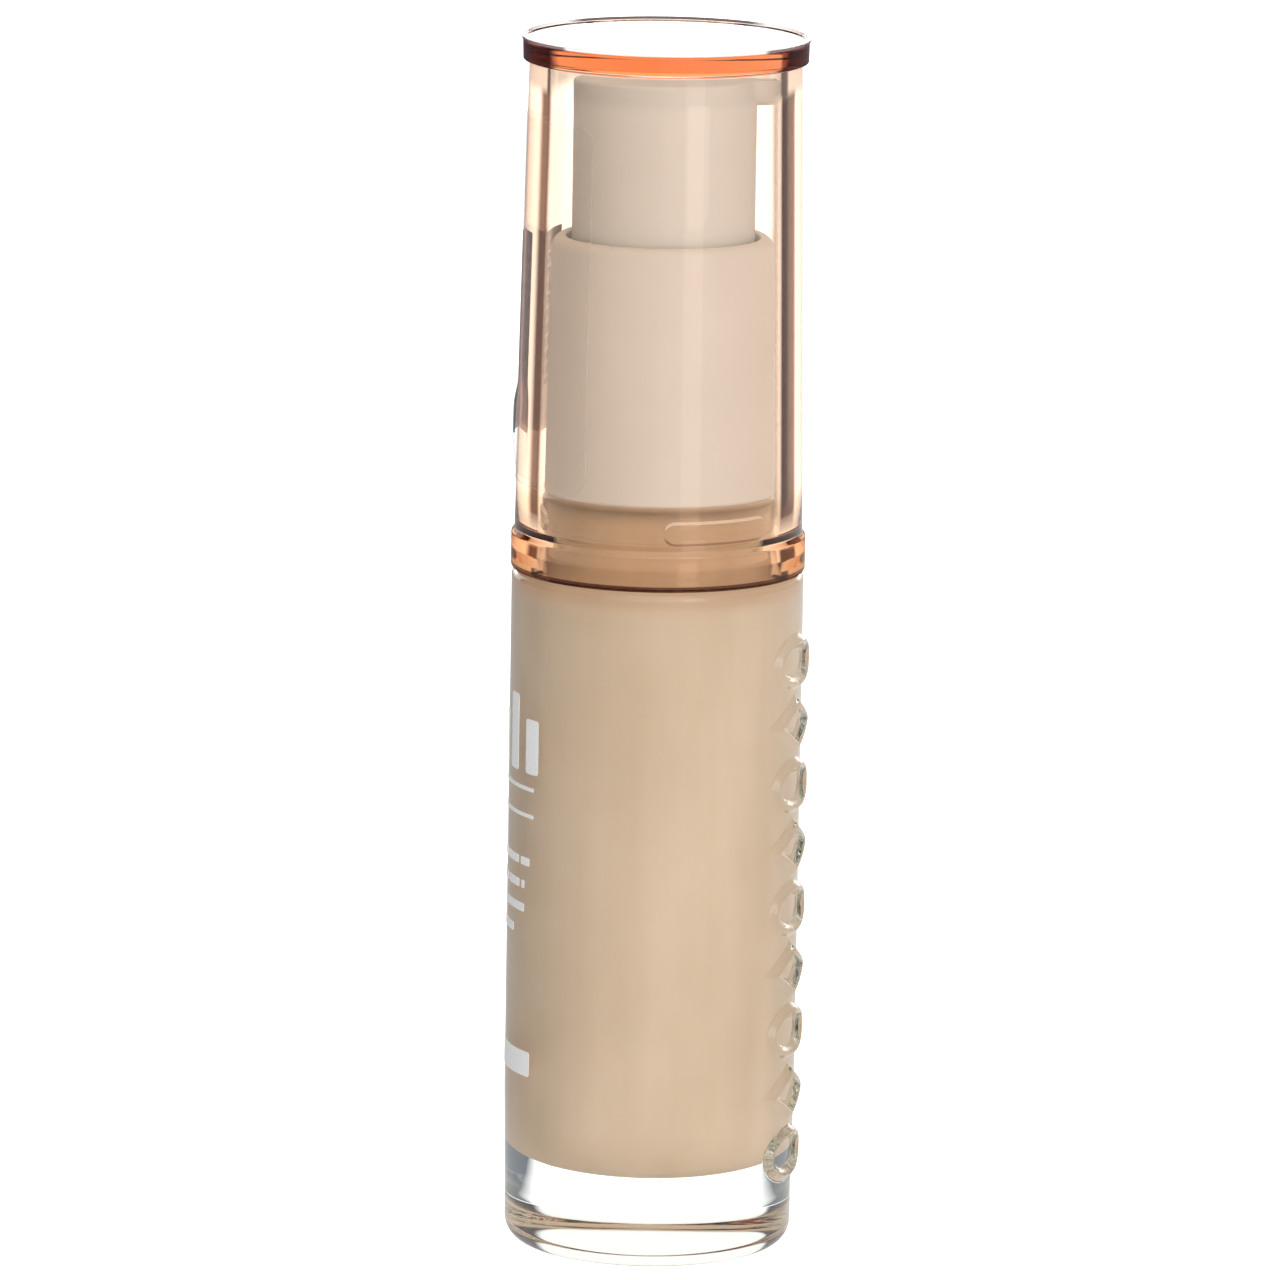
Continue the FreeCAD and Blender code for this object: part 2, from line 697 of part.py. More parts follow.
def stem():
    """Hollow tube that carries the head."""
    return turned(
        [
            (STEM_BORE_R, STEM_FOOT_Z),
            (STEM_R, STEM_FOOT_Z),
            (STEM_R, STEM_TOP_Z, SOFT_EDGE),
            (STEM_BORE_R, STEM_TOP_Z),
        ]
    )


def stem_guide():
    """Bushing that plugs the housing and guides the stem."""
    bore_r = STEM_R + RUNNING_GAP
    flange_top_z = HOUSING_RIM_TOP_Z + GUIDE_FLANGE_THICKNESS
    return turned(
        [
            (bore_r, GUIDE_FOOT_Z),
            (HOUSING_BORE_R, GUIDE_FOOT_Z, SOFT_EDGE),
            (HOUSING_BORE_R, HOUSING_RIM_TOP_Z),
            (GUIDE_FLANGE_R, HOUSING_RIM_TOP_Z),
            (GUIDE_FLANGE_R, flange_top_z, SMALL_EDGE),
            (bore_r, flange_top_z),
        ]
    )


# Head and overcap ---------------------------------------------------------------------------------


def spout_block():
    """Short spout, flared where it leaves the head's wall, pointing along +Y."""
    plan = [
        Vector(-SPOUT_HALF_WIDTH - SPOUT_FLARE, SPOUT_ROOT_Y, 0),
        Vector(-SPOUT_HALF_WIDTH - SPOUT_FLARE, SPOUT_FLARE_Y, 0),
        Vector(-SPOUT_HALF_WIDTH, SPOUT_NECK_Y, 0),
        Vector(-SPOUT_HALF_WIDTH, SPOUT_REACH, 0),
        Vector(SPOUT_HALF_WIDTH, SPOUT_REACH, 0),
        Vector(SPOUT_HALF_WIDTH, SPOUT_NECK_Y, 0),
        Vector(SPOUT_HALF_WIDTH + SPOUT_FLARE, SPOUT_FLARE_Y, 0),
        Vector(SPOUT_HALF_WIDTH + SPOUT_FLARE, SPOUT_ROOT_Y, 0),
    ]
    block = Part.Face(Part.makePolygon(plan + plan[:1])).extrude(Vector(0, 0, SPOUT_TALL))
    block.translate(Vector(0, 0, HEAD_TOP_Z - SPOUT_TALL))
    return block


def actuator():
    """Pump head: cylindrical cap with spout, stem socket, ribs and the outlet channel."""
    inner_r = HEAD_R - HEAD_WALL
    inside_top_z = HEAD_TOP_Z - HEAD_ROOF
    shell = turned(
        [
            (inner_r, HEAD_FOOT_Z),
            (HEAD_R, HEAD_FOOT_Z, HEAD_FOOT_ROUND),
            (HEAD_R, HEAD_TOP_Z, HEAD_EDGE_ROUND),
            (0, HEAD_TOP_Z),
            (0, inside_top_z),
            (inner_r, inside_top_z),
        ]
    )
    socket = ring(0, HEAD_SOCKET_R, HEAD_SOCKET_FOOT_Z, inside_top_z + HEAD_JOIN)
    rib = Part.makeBox(
        HEAD_RIB_THICKNESS,
        inner_r + HEAD_JOIN,
        inside_top_z + HEAD_JOIN - HEAD_RIB_FOOT_Z,
        Vector(-HEAD_RIB_THICKNESS / 2, -inner_r - HEAD_JOIN, HEAD_RIB_FOOT_Z),
    )
    boss_foot_z = HEAD_TOP_Z - SPOUT_TALL
    boss = Part.makeBox(
        2 * SPOUT_HALF_WIDTH,
        inner_r + HEAD_JOIN,
        inside_top_z + HEAD_JOIN - boss_foot_z,
        Vector(-SPOUT_HALF_WIDTH, 0, boss_foot_z),
    )
    solid = shell.fuse([socket, boss, spout_block()] + around(rib, HEAD_RIB_COUNT))
    stem_room = ring(0, STEM_R + RUNNING_GAP, HEAD_SOCKET_FOOT_Z, STEM_TOP_Z)
    riser = ring(0, HEAD_CHANNEL_R, STEM_TOP_Z, NOZZLE_Z)
    outlet = Part.makeCylinder(NOZZLE_R, SPOUT_REACH + 1, Vector(0, 0, NOZZLE_Z), Vector(0, 1, 0))
    return solid.cut(Part.Compound([stem_room, riser, outlet])).removeSplitter()


def overcap():
    """Drafted clear cap with a thick top disc, a foot band and an inner snap bead."""
    foot_wall_z = CAP_FOOT_TOP_Z + CAP_FOOT_RAMP
    return turned(
        [
            (0, TOTAL_HEIGHT),
            (0, CAP_ROOF_Z),
            (cap_inner_r(CAP_ROOF_Z), CAP_ROOF_Z, CAP_ROOF_ROUND),
            (cap_inner_r(CAP_BEAD_RAMP_Z), CAP_BEAD_RAMP_Z),
            (CAP_BEAD_R, CAP_BEAD_HIGH_Z, CAP_BEAD_ROUND),
            (CAP_BEAD_R, CAP_BEAD_LOW_Z, CAP_BEAD_ROUND),
            (CAP_BEAD_R + CAP_LEAD_IN, CAP_LEAD_TOP_Z, CAP_BEAD_ROUND),
            (CAP_BEAD_R + CAP_LEAD_IN, CAP_FOOT_Z),
            (CAP_FOOT_R, CAP_FOOT_Z, CAP_FOOT_ROUND),
            (CAP_FOOT_R, CAP_FOOT_TOP_Z, CAP_BEAD_ROUND),
            (cap_outer_r(foot_wall_z), foot_wall_z, CAP_FOOT_ROUND),
            (cap_outer_r(CAP_DISC_LOW_Z), CAP_DISC_LOW_Z, 2 * CAP_DISC_FLARE),
            (CAP_DISC_R, CAP_DISC_LOW_Z, 2 * CAP_DISC_FLARE),
            (CAP_DISC_R + CAP_DISC_FLARE, CAP_RIM_LOW_Z, CAP_ROOF_ROUND),
            (CAP_RIM_R, TOTAL_HEIGHT - CAP_RIM_TALL),
            (CAP_RIM_R, TOTAL_HEIGHT),
        ]
    )


def label_corner(side, high):
    """What a rounding takes off one corner of the label, made flat and turned into place."""
    reach = 2 * LABEL_CORNER
    depth = 2 * LABEL_CORNER
    front = -BODY_R - LABEL_CORNER
    z = LABEL_HIGH_Z - LABEL_CORNER if high else LABEL_LOW_Z + LABEL_CORNER
    corner = Vector(0 if side > 0 else -reach, front, z if high else z - reach)
    block = Part.makeBox(reach, depth, reach, corner)
    round_r = Part.makeCylinder(LABEL_CORNER, depth, Vector(0, front, z), Vector(0, 1, 0))
    inset = math.degrees(LABEL_CORNER / cap_outer_r(z))
    return azimuth_turn(block.cut(round_r), side * (LABEL_HALF_ANGLE - inset))


def seal_label():
    """Thin clear label with rounded corners, wrapped on the front of the overcap."""
    film = turned(
        [
            (cap_outer_r(LABEL_LOW_Z), LABEL_LOW_Z),
            (cap_outer_r(LABEL_LOW_Z) + LABEL_THICKNESS, LABEL_LOW_Z),
            (cap_outer_r(LABEL_HIGH_Z) + LABEL_THICKNESS, LABEL_HIGH_Z),
            (cap_outer_r(LABEL_HIGH_Z), LABEL_HIGH_Z),
        ],
        2 * LABEL_HALF_ANGLE,
    )
    film.rotate(ORIGIN, UP, -90.0 - LABEL_HALF_ANGLE)
    nibs = [label_corner(side, high) for side in (-1, 1) for high in (False, True)]
    return film.cut(Part.Compound(nibs))


# Files --------------------------------------------------------------------------------------------

PIECES = {
    "glass_bottle": glass_bottle,
    "front_print": front_print,
    "foundation_fill": foundation_fill,
    "neck_gasket": neck_gasket,
    "pump_housing": pump_housing,
    "dip_tube": dip_tube,
    "spring_seat": spring_seat,
    "inlet_ball": inlet_ball,
    "return_spring": return_spring,
    "piston_rod": piston_rod,
    "piston": piston,
    "stem": stem,
    "stem_guide": stem_guide,
    "screw_closure": screw_closure,
    "collar_sleeve": collar_sleeve,
    "actuator": actuator,
    "overcap": overcap,
    "seal_label": seal_label,
}

for name, make in PIECES.items():
    shape = make()
    print(f"{name:16s} solids {len(shape.Solids)} valid {shape.isValid()} volume {shape.Volume:.1f}")
    shape.exportStep(f"parts/{name}.step")
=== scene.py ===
"""Foundation bottle: fine meshes, finishes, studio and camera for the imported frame."""

import json
import math
import random

import bpy
from mathutils import Matrix, Vector


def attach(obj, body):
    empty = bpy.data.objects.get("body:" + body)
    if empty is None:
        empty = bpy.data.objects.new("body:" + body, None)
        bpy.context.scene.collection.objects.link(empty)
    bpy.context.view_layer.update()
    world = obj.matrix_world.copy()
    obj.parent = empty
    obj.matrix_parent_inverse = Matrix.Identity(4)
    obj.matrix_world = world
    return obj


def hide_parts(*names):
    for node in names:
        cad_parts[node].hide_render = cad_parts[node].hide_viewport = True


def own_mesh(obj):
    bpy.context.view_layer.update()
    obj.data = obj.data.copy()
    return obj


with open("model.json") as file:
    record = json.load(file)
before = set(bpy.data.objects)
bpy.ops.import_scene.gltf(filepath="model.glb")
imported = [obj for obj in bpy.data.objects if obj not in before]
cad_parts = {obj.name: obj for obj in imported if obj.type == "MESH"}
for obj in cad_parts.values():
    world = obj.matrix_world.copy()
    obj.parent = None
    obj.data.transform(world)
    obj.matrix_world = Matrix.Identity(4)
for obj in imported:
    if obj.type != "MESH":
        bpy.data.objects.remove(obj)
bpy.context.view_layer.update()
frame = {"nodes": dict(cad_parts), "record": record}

MM = 0.001

# Sizes of the object, in millimetres ----------------------------------------------------------------
# Z is the height over the foot of the glass, R the distance from the bottle's axis, and azimuths are
# degrees from -Y towards +X.

TOTAL_HEIGHT = 125.8
BODY_R = 15.0
BODY_BORE_R = 12.8
BASE_R = 14.8
BASE_TOP_Z = 6.0
BODY_FOOT_Z = 16.0
BASE_ROUND = 2.4
FOOT_RING_R = 11.6
PUNT_R = 10.8
PUNT_EDGE_Z = 0.63
PUNT_Z = 0.9
FLOOR_Z = 8.8
FLOOR_ROUND = 5.5
SHOULDER_Z = 70.7
GROOVE_R = 11.65
NECK_R = 11.95
NECK_BEAD_Z = 74.8
NECK_TOP_Z = 78.9
NECK_BORE_R = 9.6
LIP_Z = 91.9
FINISH_R = 7.75
FINISH_BORE_R = 5.6
FILL_TOP_Z = 80.6
WETTING = 0.04

# Hollow that the pump and its tube leave in the liquid
PUMP_R = 5.0
PUMP_TAPER_Z = 73.0
PUMP_SOCKET_R = 3.2
PUMP_SOCKET_TOP_Z = 70.0
PUMP_SOCKET_FOOT_Z = 61.9
DIP_TUBE_R = 2.4
DIP_TUBE_FOOT_Z = 9.8

LUG_COUNT = 3
LUG_FIRST_AZIMUTH = 6.0
LUG_SPAN = 56.0
LUG_MIDDLE_Z = 76.35
LUG_HALF_TALL = 1.25
LUG_HEIGHT = 0.25
LUG_BEVEL = 0.3

THREAD_PITCH = 3.175
THREAD_TURNS = 1.5
THREAD_START_Z = 83.4
THREAD_HEIGHT = 0.95
THREAD_BASE_HALF = 0.95
THREAD_CREST_HALF = 0.5
THREAD_FADE = 0.05

RELIEF_AZIMUTH = 167.0
RELIEF_COUNT = 9
RELIEF_LOW_Z = 10.4
RELIEF_PITCH = 6.45
RELIEF_HEIGHT = 0.75
RELIEF_HALF_WIDTH = 4.0
RELIEF_HALF_TALL = 2.15
RELIEF_HALF_STROKE = 0.85
RELIEF_FROM_Z = 6.5
RELIEF_TO_Z = 66.0

CAP_DRAFT = 0.0178
CAP_OUTER_R = 14.68
CAP_INNER_R = 12.45
CAP_FOOT_R = 15.1
CAP_FOOT_Z = 70.75
CAP_FOOT_TOP_Z = 74.4
CAP_FOOT_RIM = 0.34
CAP_WALL_FOOT_Z = 74.9
CAP_BORE_FOOT_Z = 75.2
CAP_BEAD_R = 12.27
CAP_BEAD_TOP_Z = 74.3
CAP_BEAD_FOOT_Z = 72.5
CAP_DISC_R = 14.55
CAP_RIM_R = 14.9
CAP_DISC_LOW_Z = 123.2
CAP_ROOF_Z = 123.3

# Shallow recess in the top of the disc
CAP_LIP_R = 14.3
CAP_FACE_Z = 125.45

LABEL_HALF_ANGLE = 65.0
LABEL_LOW_Z = 80.0
LABEL_HIGH_Z = 117.6
LABEL_CORNER = 1.5
PANEL_MIDDLE = -8.0
PANEL_HALF_ANGLE = 15.0
PANEL_LOW_Z = 84.5
PANEL_SPLIT_Z = 89.3
PANEL_HIGH_Z = 105.3
PANEL_MARGIN = 1.6
RULE_PITCH = 1.45
RULE_SHARE = 0.3
RULE_HALF_LENGTH = 4.2

HEAD_R = 9.35
HEAD_TOP_Z = 121.9
HEAD_FOOT_Z = 101.4
HEAD_WALL = 1.0
HEAD_ROOF_Z = 120.6
STEM_R = 2.12
STEM_TOP_Z = 108.0
BOSS_R = 3.3
BOSS_FOOT_Z = 102.0
SPOUT_REACH = 11.6
SPOUT_HALF_WIDTH = 1.6
SPOUT_FOOT_Z = 119.1
SPOUT_MIDDLE_Z = 120.5
NOZZLE_R = 0.7
NOZZLE_Z = 120.3
NOZZLE_DEPTH = 1.6

COLLAR_FOOT_Z = 79.0
COLLAR_TOP_Z = 105.4
COLLAR_FOOT_R = 11.75
COLLAR_TOP_R = 11.35
COLLAR_MOUTH_R = 9.88
COLLAR_HEAD_BORE_R = 10.15
COLLAR_NUT_BORE_R = 10.45
COLLAR_FOOT_BORE_R = 10.3
COLLAR_WEB_R = 8.6
COLLAR_WEB_TOP_Z = 96.1
COLLAR_WEB_FOOT_Z = 95.1

# The spring's coil
COIL_R = 3.0
WIRE_R = 0.3
COIL_FOOT_Z = 76.2
COIL_TOP_Z = 85.7
COIL_TURNS = 7

# The print's skin on the glass, and how far it reaches to each side of the front
INK_BACK_R = BODY_R + 0.006
INK_FRONT_R = BODY_R + 0.05
INK_REACH = 10.5


def cap_outer_r(z):
    """Radius of the overcap's drafted outer wall."""
    return CAP_OUTER_R - (z - 80.0) * CAP_DRAFT


def cap_inner_r(z):
    """Radius of the overcap's drafted inner wall."""
    return CAP_INNER_R - (z - 80.0) * CAP_DRAFT


# Mesh helpers ---------------------------------------------------------------------------------------


def rounded(corners, arc_step=11.0):
    """Points of a closed outline whose (r, z, round) corners are turned into arcs."""
    points = []
    count = len(corners)
    for i, corner in enumerate(corners):
        here = Vector(corner[:2])
        radius = corner[2] if len(corner) > 2 else 0.0
        before = (Vector(corners[i - 1][:2]) - here).normalized()
        after = (Vector(corners[(i + 1) % count][:2]) - here).normalized()
        opening = before.angle(after)
        if not radius or math.pi - opening < 1e-4:
            points.append(here)
            continue
        reach = radius / math.tan(opening / 2)
        centre = here + (before + after).normalized() * (radius / math.sin(opening / 2))
        first = here + before * reach - centre
        last = here + after * reach - centre
        turn = first.angle_signed(last)
        steps = max(3, math.ceil(abs(math.degrees(turn)) / arc_step))
        for k in range(steps + 1):
            points.append(centre + Matrix.Rotation(-turn * k / steps, 2) @ first)
    return [(point.x, point.y) for point in points]


def refined(outline, wanted, step):
    """The outline with its straight runs cut to a step wherever wanted(r, z) holds."""
    points = []
    for i, (r, z) in enumerate(outline):
        next_r, next_z = outline[(i + 1) % len(outline)]
        points.append((r, z))
        length = math.hypot(next_r - r, next_z - z)
        pieces = math.ceil(length / step)
        for k in range(1, pieces):
            share = k / pieces
            mid_r, mid_z = r + (next_r - r) * share, z + (next_z - z) * share
            if wanted(mid_r, mid_z):
                points.append((mid_r, mid_z))
    return points


def turns(step, dense=()):
    """Angles round Z in radians: every step degrees, and finer in (centre, half, step) sectors."""
    angles = []
    angle = 0.0
    while angle < 360.0 - 1e-6:
        angles.append(angle)
        gap = step
        for centre, half, fine in dense:
            away = abs((angle - centre + 180.0) % 360.0 - 180.0)
            if away <= half:
                gap = fine
        angle += gap
    return [math.radians(a) for a in angles]


def lathe(name, outline, angles, field=None):
    """A closed turned mesh from an (r, z) outline, with a field that may push its radius out."""
    area = 0.0
    for i, (r, z) in enumerate(outline):
        next_r, next_z = outline[(i + 1) % len(outline)]
        area += r * next_z - next_r * z
    if area < 0:
        outline = outline[::-1]
    verts, rings, faces = [], [], []
    for r, z in outline:
        start = len(verts)
        if r < 1e-6:
            verts.append((0.0, 0.0, z * MM))
            rings.append([start])
            continue
        for angle in angles:
            reach = r + (field(angle, r, z) if field else 0.0)
            verts.append((reach * math.cos(angle) * MM, reach * math.sin(angle) * MM, z * MM))
        rings.append(list(range(start, len(verts))))
    for low, high in zip(rings, rings[1:] + rings[:1]):
        if len(low) == 1 and len(high) == 1:
            continue
        for i in range(len(angles)):
            j = (i + 1) % len(angles)
            if len(low) == 1:
                faces.append((low[0], high[j], high[i]))
            elif len(high) == 1:
                faces.append((low[i], low[j], high[0]))
            else:
                faces.append((low[i], low[j], high[j], high[i]))
    return made_mesh(name, verts, faces)


def made_mesh(name, verts, faces, sharp=34.0):
    """A mesh shaded smooth, with its edges over an angle kept sharp."""
    mesh = bpy.data.meshes.new(name)
    mesh.from_pydata(verts, [], faces)
    mesh.shade_smooth()
    mesh.set_sharp_from_angle(angle=math.radians(sharp))
    mesh.validate()
    return mesh


def patch(verts, faces, middle, half, low, high, corner, inner, outer, columns, rows=()):
    """Adds a thin closed skin wrapped on the round wall, with rounded corners.

    middle and half are degrees of azimuth from -Y towards +X. inner and outer give the radius
    at an azimuth and a height. rows are heights that the grid has to have between its corners.
    """
    arc = 5
    corner_angle = math.degrees(corner / outer(middle, low))
    lines = []
    for k in range(arc + 1):
        turn = math.radians(-90.0 + 90.0 * k / arc)
        lines.append((low + corner + corner * math.sin(turn), half - corner_angle * (1 - math.cos(turn))))
    lines += [(z, half) for z in sorted(rows) if low + corner < z < high - corner]
    for k in range(arc + 1):
        turn = math.radians(90.0 * k / arc)
        lines.append((high - corner + corner * math.sin(turn), half - corner_angle * (1 - math.cos(turn))))
    start = len(verts)
    per_row = columns + 1
    for radius in (outer, inner):
        for z, reach in lines:
            for k in range(per_row):
                azimuth = middle + reach * (2.0 * k / columns - 1.0)
                r = radius(azimuth, z)
                angle = math.radians(azimuth - 90.0)
                verts.append((r * math.cos(angle) * MM, r * math.sin(angle) * MM, z * MM))
    back = start + per_row * len(lines)
    for row in range(len(lines) - 1):
        for k in range(columns):
            a = start + row * per_row + k
            b = a + per_row
            faces.append((a, a + 1, b + 1, b))
            c = back + row * per_row + k
            d = c + per_row
            faces.append((c, d, d + 1, c + 1))
        for k, flip in ((0, False), (columns, True)):
            a = start + row * per_row + k
            c = back + row * per_row + k
            side = (a, a + per_row, c + per_row, c)
            faces.append(side[::-1] if flip else side)
    for row, flip in ((0, True), (len(lines) - 1, False)):
        for k in range(columns):
            a = start + row * per_row + k
            c = back + row * per_row + k
            side = (a, a + 1, c + 1, c)
            faces.append(side[::-1] if flip else side)


def piece(name, mesh, body, slot, materials, *nodes):
    """A shown piece on its body with its materials, standing for the named nodes. The slot is not used."""
    obj = bpy.data.objects.new(name, mesh)
    bpy.context.scene.collection.objects.link(obj)
    for material in materials:
        mesh.materials.append(material)
    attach(obj, body)
    if nodes:
        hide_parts(*nodes)
    return obj


# Node helpers ---------------------------------------------------------------------------------------


def new_tree(name):
    """An empty node material and its tree."""
    material = bpy.data.materials.new(name)
    material.use_nodes = True
    material.node_tree.nodes.clear()
    return material, material.node_tree


def feed(tree, socket, value):
    """Sets an input to a value, or links it to another node's output."""
    if isinstance(value, bpy.types.NodeSocket):
        tree.links.new(value, socket)
    else:
        socket.default_value = value


def put(tree, kind, properties=None, **inputs):
    """A node with its inputs set to values or linked to sockets."""
    node = tree.nodes.new("ShaderNode" + kind)
    for key, value in (properties or {}).items():
        setattr(node, key, value)
    for key, value in inputs.items():
        feed(tree, node.inputs[key.replace("_", " ")], value)
    return node


def calc(tree, operation, *values):
    """The result of a math node."""
    node = tree.nodes.new("ShaderNodeMath")
    node.operation = operation
    for socket, value in zip(node.inputs, values):
        feed(tree, socket, value)
    return node.outputs[0]


def product(tree, first, *others):
    """Several numbers multiplied together."""
    for other in others:
        first = calc(tree, "MULTIPLY", first, other)
    return first


def within(tree, value, low, high):
    """One where a value lies between two bounds, else nothing."""
    return product(tree, calc(tree, "GREATER_THAN", value, low), calc(tree, "LESS_THAN", value, high))


def from_axis(tree, x, y):
    """Distance from the bottle's axis."""
    squares = calc(tree, "ADD", calc(tree, "MULTIPLY", x, x), calc(tree, "MULTIPLY", y, y))
    return calc(tree, "SQRT", squares)


def blended(tree, share, first, second):
    """Two shaders mixed by a share."""
    node = tree.nodes.new("ShaderNodeMixShader")
    for socket, value in zip(node.inputs, (share, first, second)):
        feed(tree, socket, value)
    return node.outputs[0]


def place(tree):
    """Object coordinates, in metres."""
    return put(tree, "TexCoord").outputs["Object"]


def noise(tree, where, scale, detail=3.0, rough=0.5):
    """A noise texture's value."""
    node = put(tree, "TexNoise", Vector=where, Scale=scale, Detail=detail, Roughness=rough)
    return node.outputs[0]


def stretched(tree, where, scale):
    """Coordinates scaled unevenly."""
    return put(tree, "Mapping", Vector=where, Scale=scale).outputs[0]


def between(tree, value, low, high):
    """A share that rises from 0 to 1 as a value goes from low to high."""
    return put(tree, "MapRange", Value=value, From_Min=low, From_Max=high).outputs[0]


def mixed(tree, share, first, second):
    """A colour mixed from two by a share."""
    node = tree.nodes.new("ShaderNodeMix")
    node.data_type = "RGBA"
    for index, value in ((0, share), (6, first), (7, second)):
        feed(tree, node.inputs[index], value)
    return node.outputs[2]


def tinted(tree, value, low, high, first, second):
    """A colour that runs from first to second as a value runs from low to high."""
    return mixed(tree, between(tree, value, low, high), (*first, 1.0), (*second, 1.0))


def chosen(tree, share, first, second):
    """A number mixed from two by a share."""
    kept = calc(tree, "MULTIPLY", first, calc(tree, "SUBTRACT", 1.0, share))
    return calc(tree, "ADD", kept, calc(tree, "MULTIPLY", second, share))


def bumped(tree, height, strength, distance):
    """A normal from a height."""
    return put(tree, "Bump", Height=height, Strength=strength, Distance=distance).outputs[0]


def unseen(tree):
    """One for shadow and diffuse rays, which pass clear walls straight, and nothing for the rest."""
    path = put(tree, "LightPath")
    return calc(tree, "MAXIMUM", path.outputs["Is Shadow Ray"], path.outputs["Is Diffuse Ray"])


# Finishes -------------------------------------------------------------------------------------------


def clear_finish(name, ior, colour, wave, rough=0.0, absorbing=None, veil=1.0, tints_and_painted_shade=None, painted_highlight=None):
    """Clear glass or moulded clear plastic with a slight wave in its surface.

    absorbing is the density and the kept colour of a tinted resin, and veil what its walls pass of
    the light. The tints give the skin's colour at a place, with painted shade in it, and the painted
    highlight gives the share of diffuse white painted at a place as a highlight.
    """
    material, tree = new_tree(name)
    where = place(tree)
    slow = noise(tree, stretched(tree, where, (1.0, 1.0, 0.45)), 120.0, 1.5)
    normal = bumped(tree, slow, wave, 0.0004)
    haze = put(tree, "MapRange", Value=noise(tree, where, 900.0), To_Min=rough * 0.6, To_Max=rough * 1.4)
    glass = put(
        tree, "BsdfGlass", Color=(*colour, 1.0), IOR=ior, Normal=normal, Roughness=haze.outputs[0]
    )
    # The skin's colour at a place, with the painted shade that the tints hold.
    if tints_and_painted_shade:
        tree.links.new(tints_and_painted_shade(tree, where), glass.inputs["Color"])
    clear = put(tree, "BsdfTransparent", Color=(veil, veil, veil, 1.0))
    body = glass.outputs[0]
    if painted_highlight:
        # Painted highlight: a diffuse white mixed into the glass by the highlight's share.
        white = put(tree, "BsdfDiffuse", Color=(0.9, 0.9, 0.9, 1.0))
        body = blended(tree, painted_highlight(tree, where), body, white.outputs[0])
    surface = blended(tree, unseen(tree), body, clear.outputs[0])
    out = put(tree, "OutputMaterial", Surface=surface)
    if absorbing:
        density, keeps = absorbing
        volume = put(tree, "VolumeAbsorption", Color=(*keeps, 1.0), Density=density)
        tree.links.new(volume.outputs[0], out.inputs["Volume"])
    return material


def on_bevel(tree, where, sign):
    """A share for the neck lugs' sloping edges that face up or down, where a highlight and a shade are
    painted.
    """
    x, y, z = put(tree, "SeparateXYZ", Vector=where).outputs
    away = calc(tree, "ABSOLUTE", calc(tree, "SUBTRACT", z, LUG_MIDDLE_Z * MM))
    tall = calc(tree, "LESS_THAN", away, (LUG_HALF_TALL + LUG_HEIGHT) * MM)
    raised = within(tree, from_axis(tree, x, y), (NECK_R + 0.005) * MM, (NECK_R + 2 * LUG_HEIGHT) * MM)
    lean = put(tree, "SeparateXYZ", Vector=put(tree, "NewGeometry").outputs["Normal"]).outputs[2]
    lean = between(tree, calc(tree, "MULTIPLY", lean, sign), 0.15, 0.4)
    return product(tree, tall, raised, lean)


def lug_tints_and_painted_shade(tree, where):
    """Colour of the glass, with a painted shade: brownish on the lower, down-facing edge of each lug."""
    return mixed(tree, on_bevel(tree, where, -1.0), (0.985, 0.995, 0.99, 1.0), (0.62, 0.5, 0.42, 1.0))


def lug_painted_highlight(tree, where):
    """Share of painted highlight, a diffuse white, on the upper, up-facing edge of each lug."""
    return calc(tree, "MULTIPLY", on_bevel(tree, where, 1.0), 0.75)


def cap_tints_and_painted_shade(tree, where):
    """Colour of the overcap's skin, with painted shade in it.

    The skirt below the collar is a little warmer. As painted shade, the foot's band turns amber and the
    disc's side turns dark where they curve away, and the lip's outer face and the foot's rim are dark
    lines.
    """
    x, y, z = put(tree, "SeparateXYZ", Vector=where).outputs
    r = calc(tree, "DIVIDE", from_axis(tree, x, y), MM)
    z = calc(tree, "DIVIDE", z, MM)
    turned = put(tree, "LayerWeight").outputs["Facing"]
    outside = calc(tree, "SUBTRACT", 1.0, put(tree, "NewGeometry").outputs["Backfacing"])
    clear, warm = (1.0, 1.0, 1.0), (0.955, 0.93, 0.89)
    skirt = within(tree, z, 0.0, COLLAR_FOOT_Z)
    foot = product(
        tree,
        within(tree, z, 0.0, CAP_FOOT_TOP_Z + 0.4),
        calc(tree, "GREATER_THAN", r, CAP_FOOT_R - 0.5),
    )
    band = product(
        tree,
        within(tree, z, CAP_DISC_LOW_Z + 0.1, TOTAL_HEIGHT - 0.1),
        calc(tree, "GREATER_THAN", r, CAP_DISC_R - 0.1),
    )
    lip = product(
        tree,
        within(tree, z, CAP_FACE_Z + 0.03, TOTAL_HEIGHT - 0.03),
        within(tree, r, CAP_LIP_R - 0.06, CAP_LIP_R + 0.06),
        outside,
    )
    rim = within(tree, z, 0.0, CAP_FOOT_Z + CAP_FOOT_RIM)
    colour = mixed(tree, skirt, (*clear, 1.0), (*warm, 1.0))
    # Painted shade: amber on the foot's band and dark on the disc's side where they curve away, and a dark
    # line on the lip's face.
    colour = mixed(tree, foot, colour, tinted(tree, turned, 0.25, 0.55, warm, (0.86, 0.6, 0.42)))
    colour = mixed(tree, band, colour, tinted(tree, turned, 0.41, 0.44, clear, (0.3, 0.22, 0.24)))
    colour = mixed(tree, lip, colour, tinted(tree, turned, 0.2, 0.3, (0.2, 0.15, 0.14), clear))
    # Painted shade: a dark line along the foot's rim.
    return mixed(tree, rim, colour, (0.22, 0.12, 0.09, 1.0))


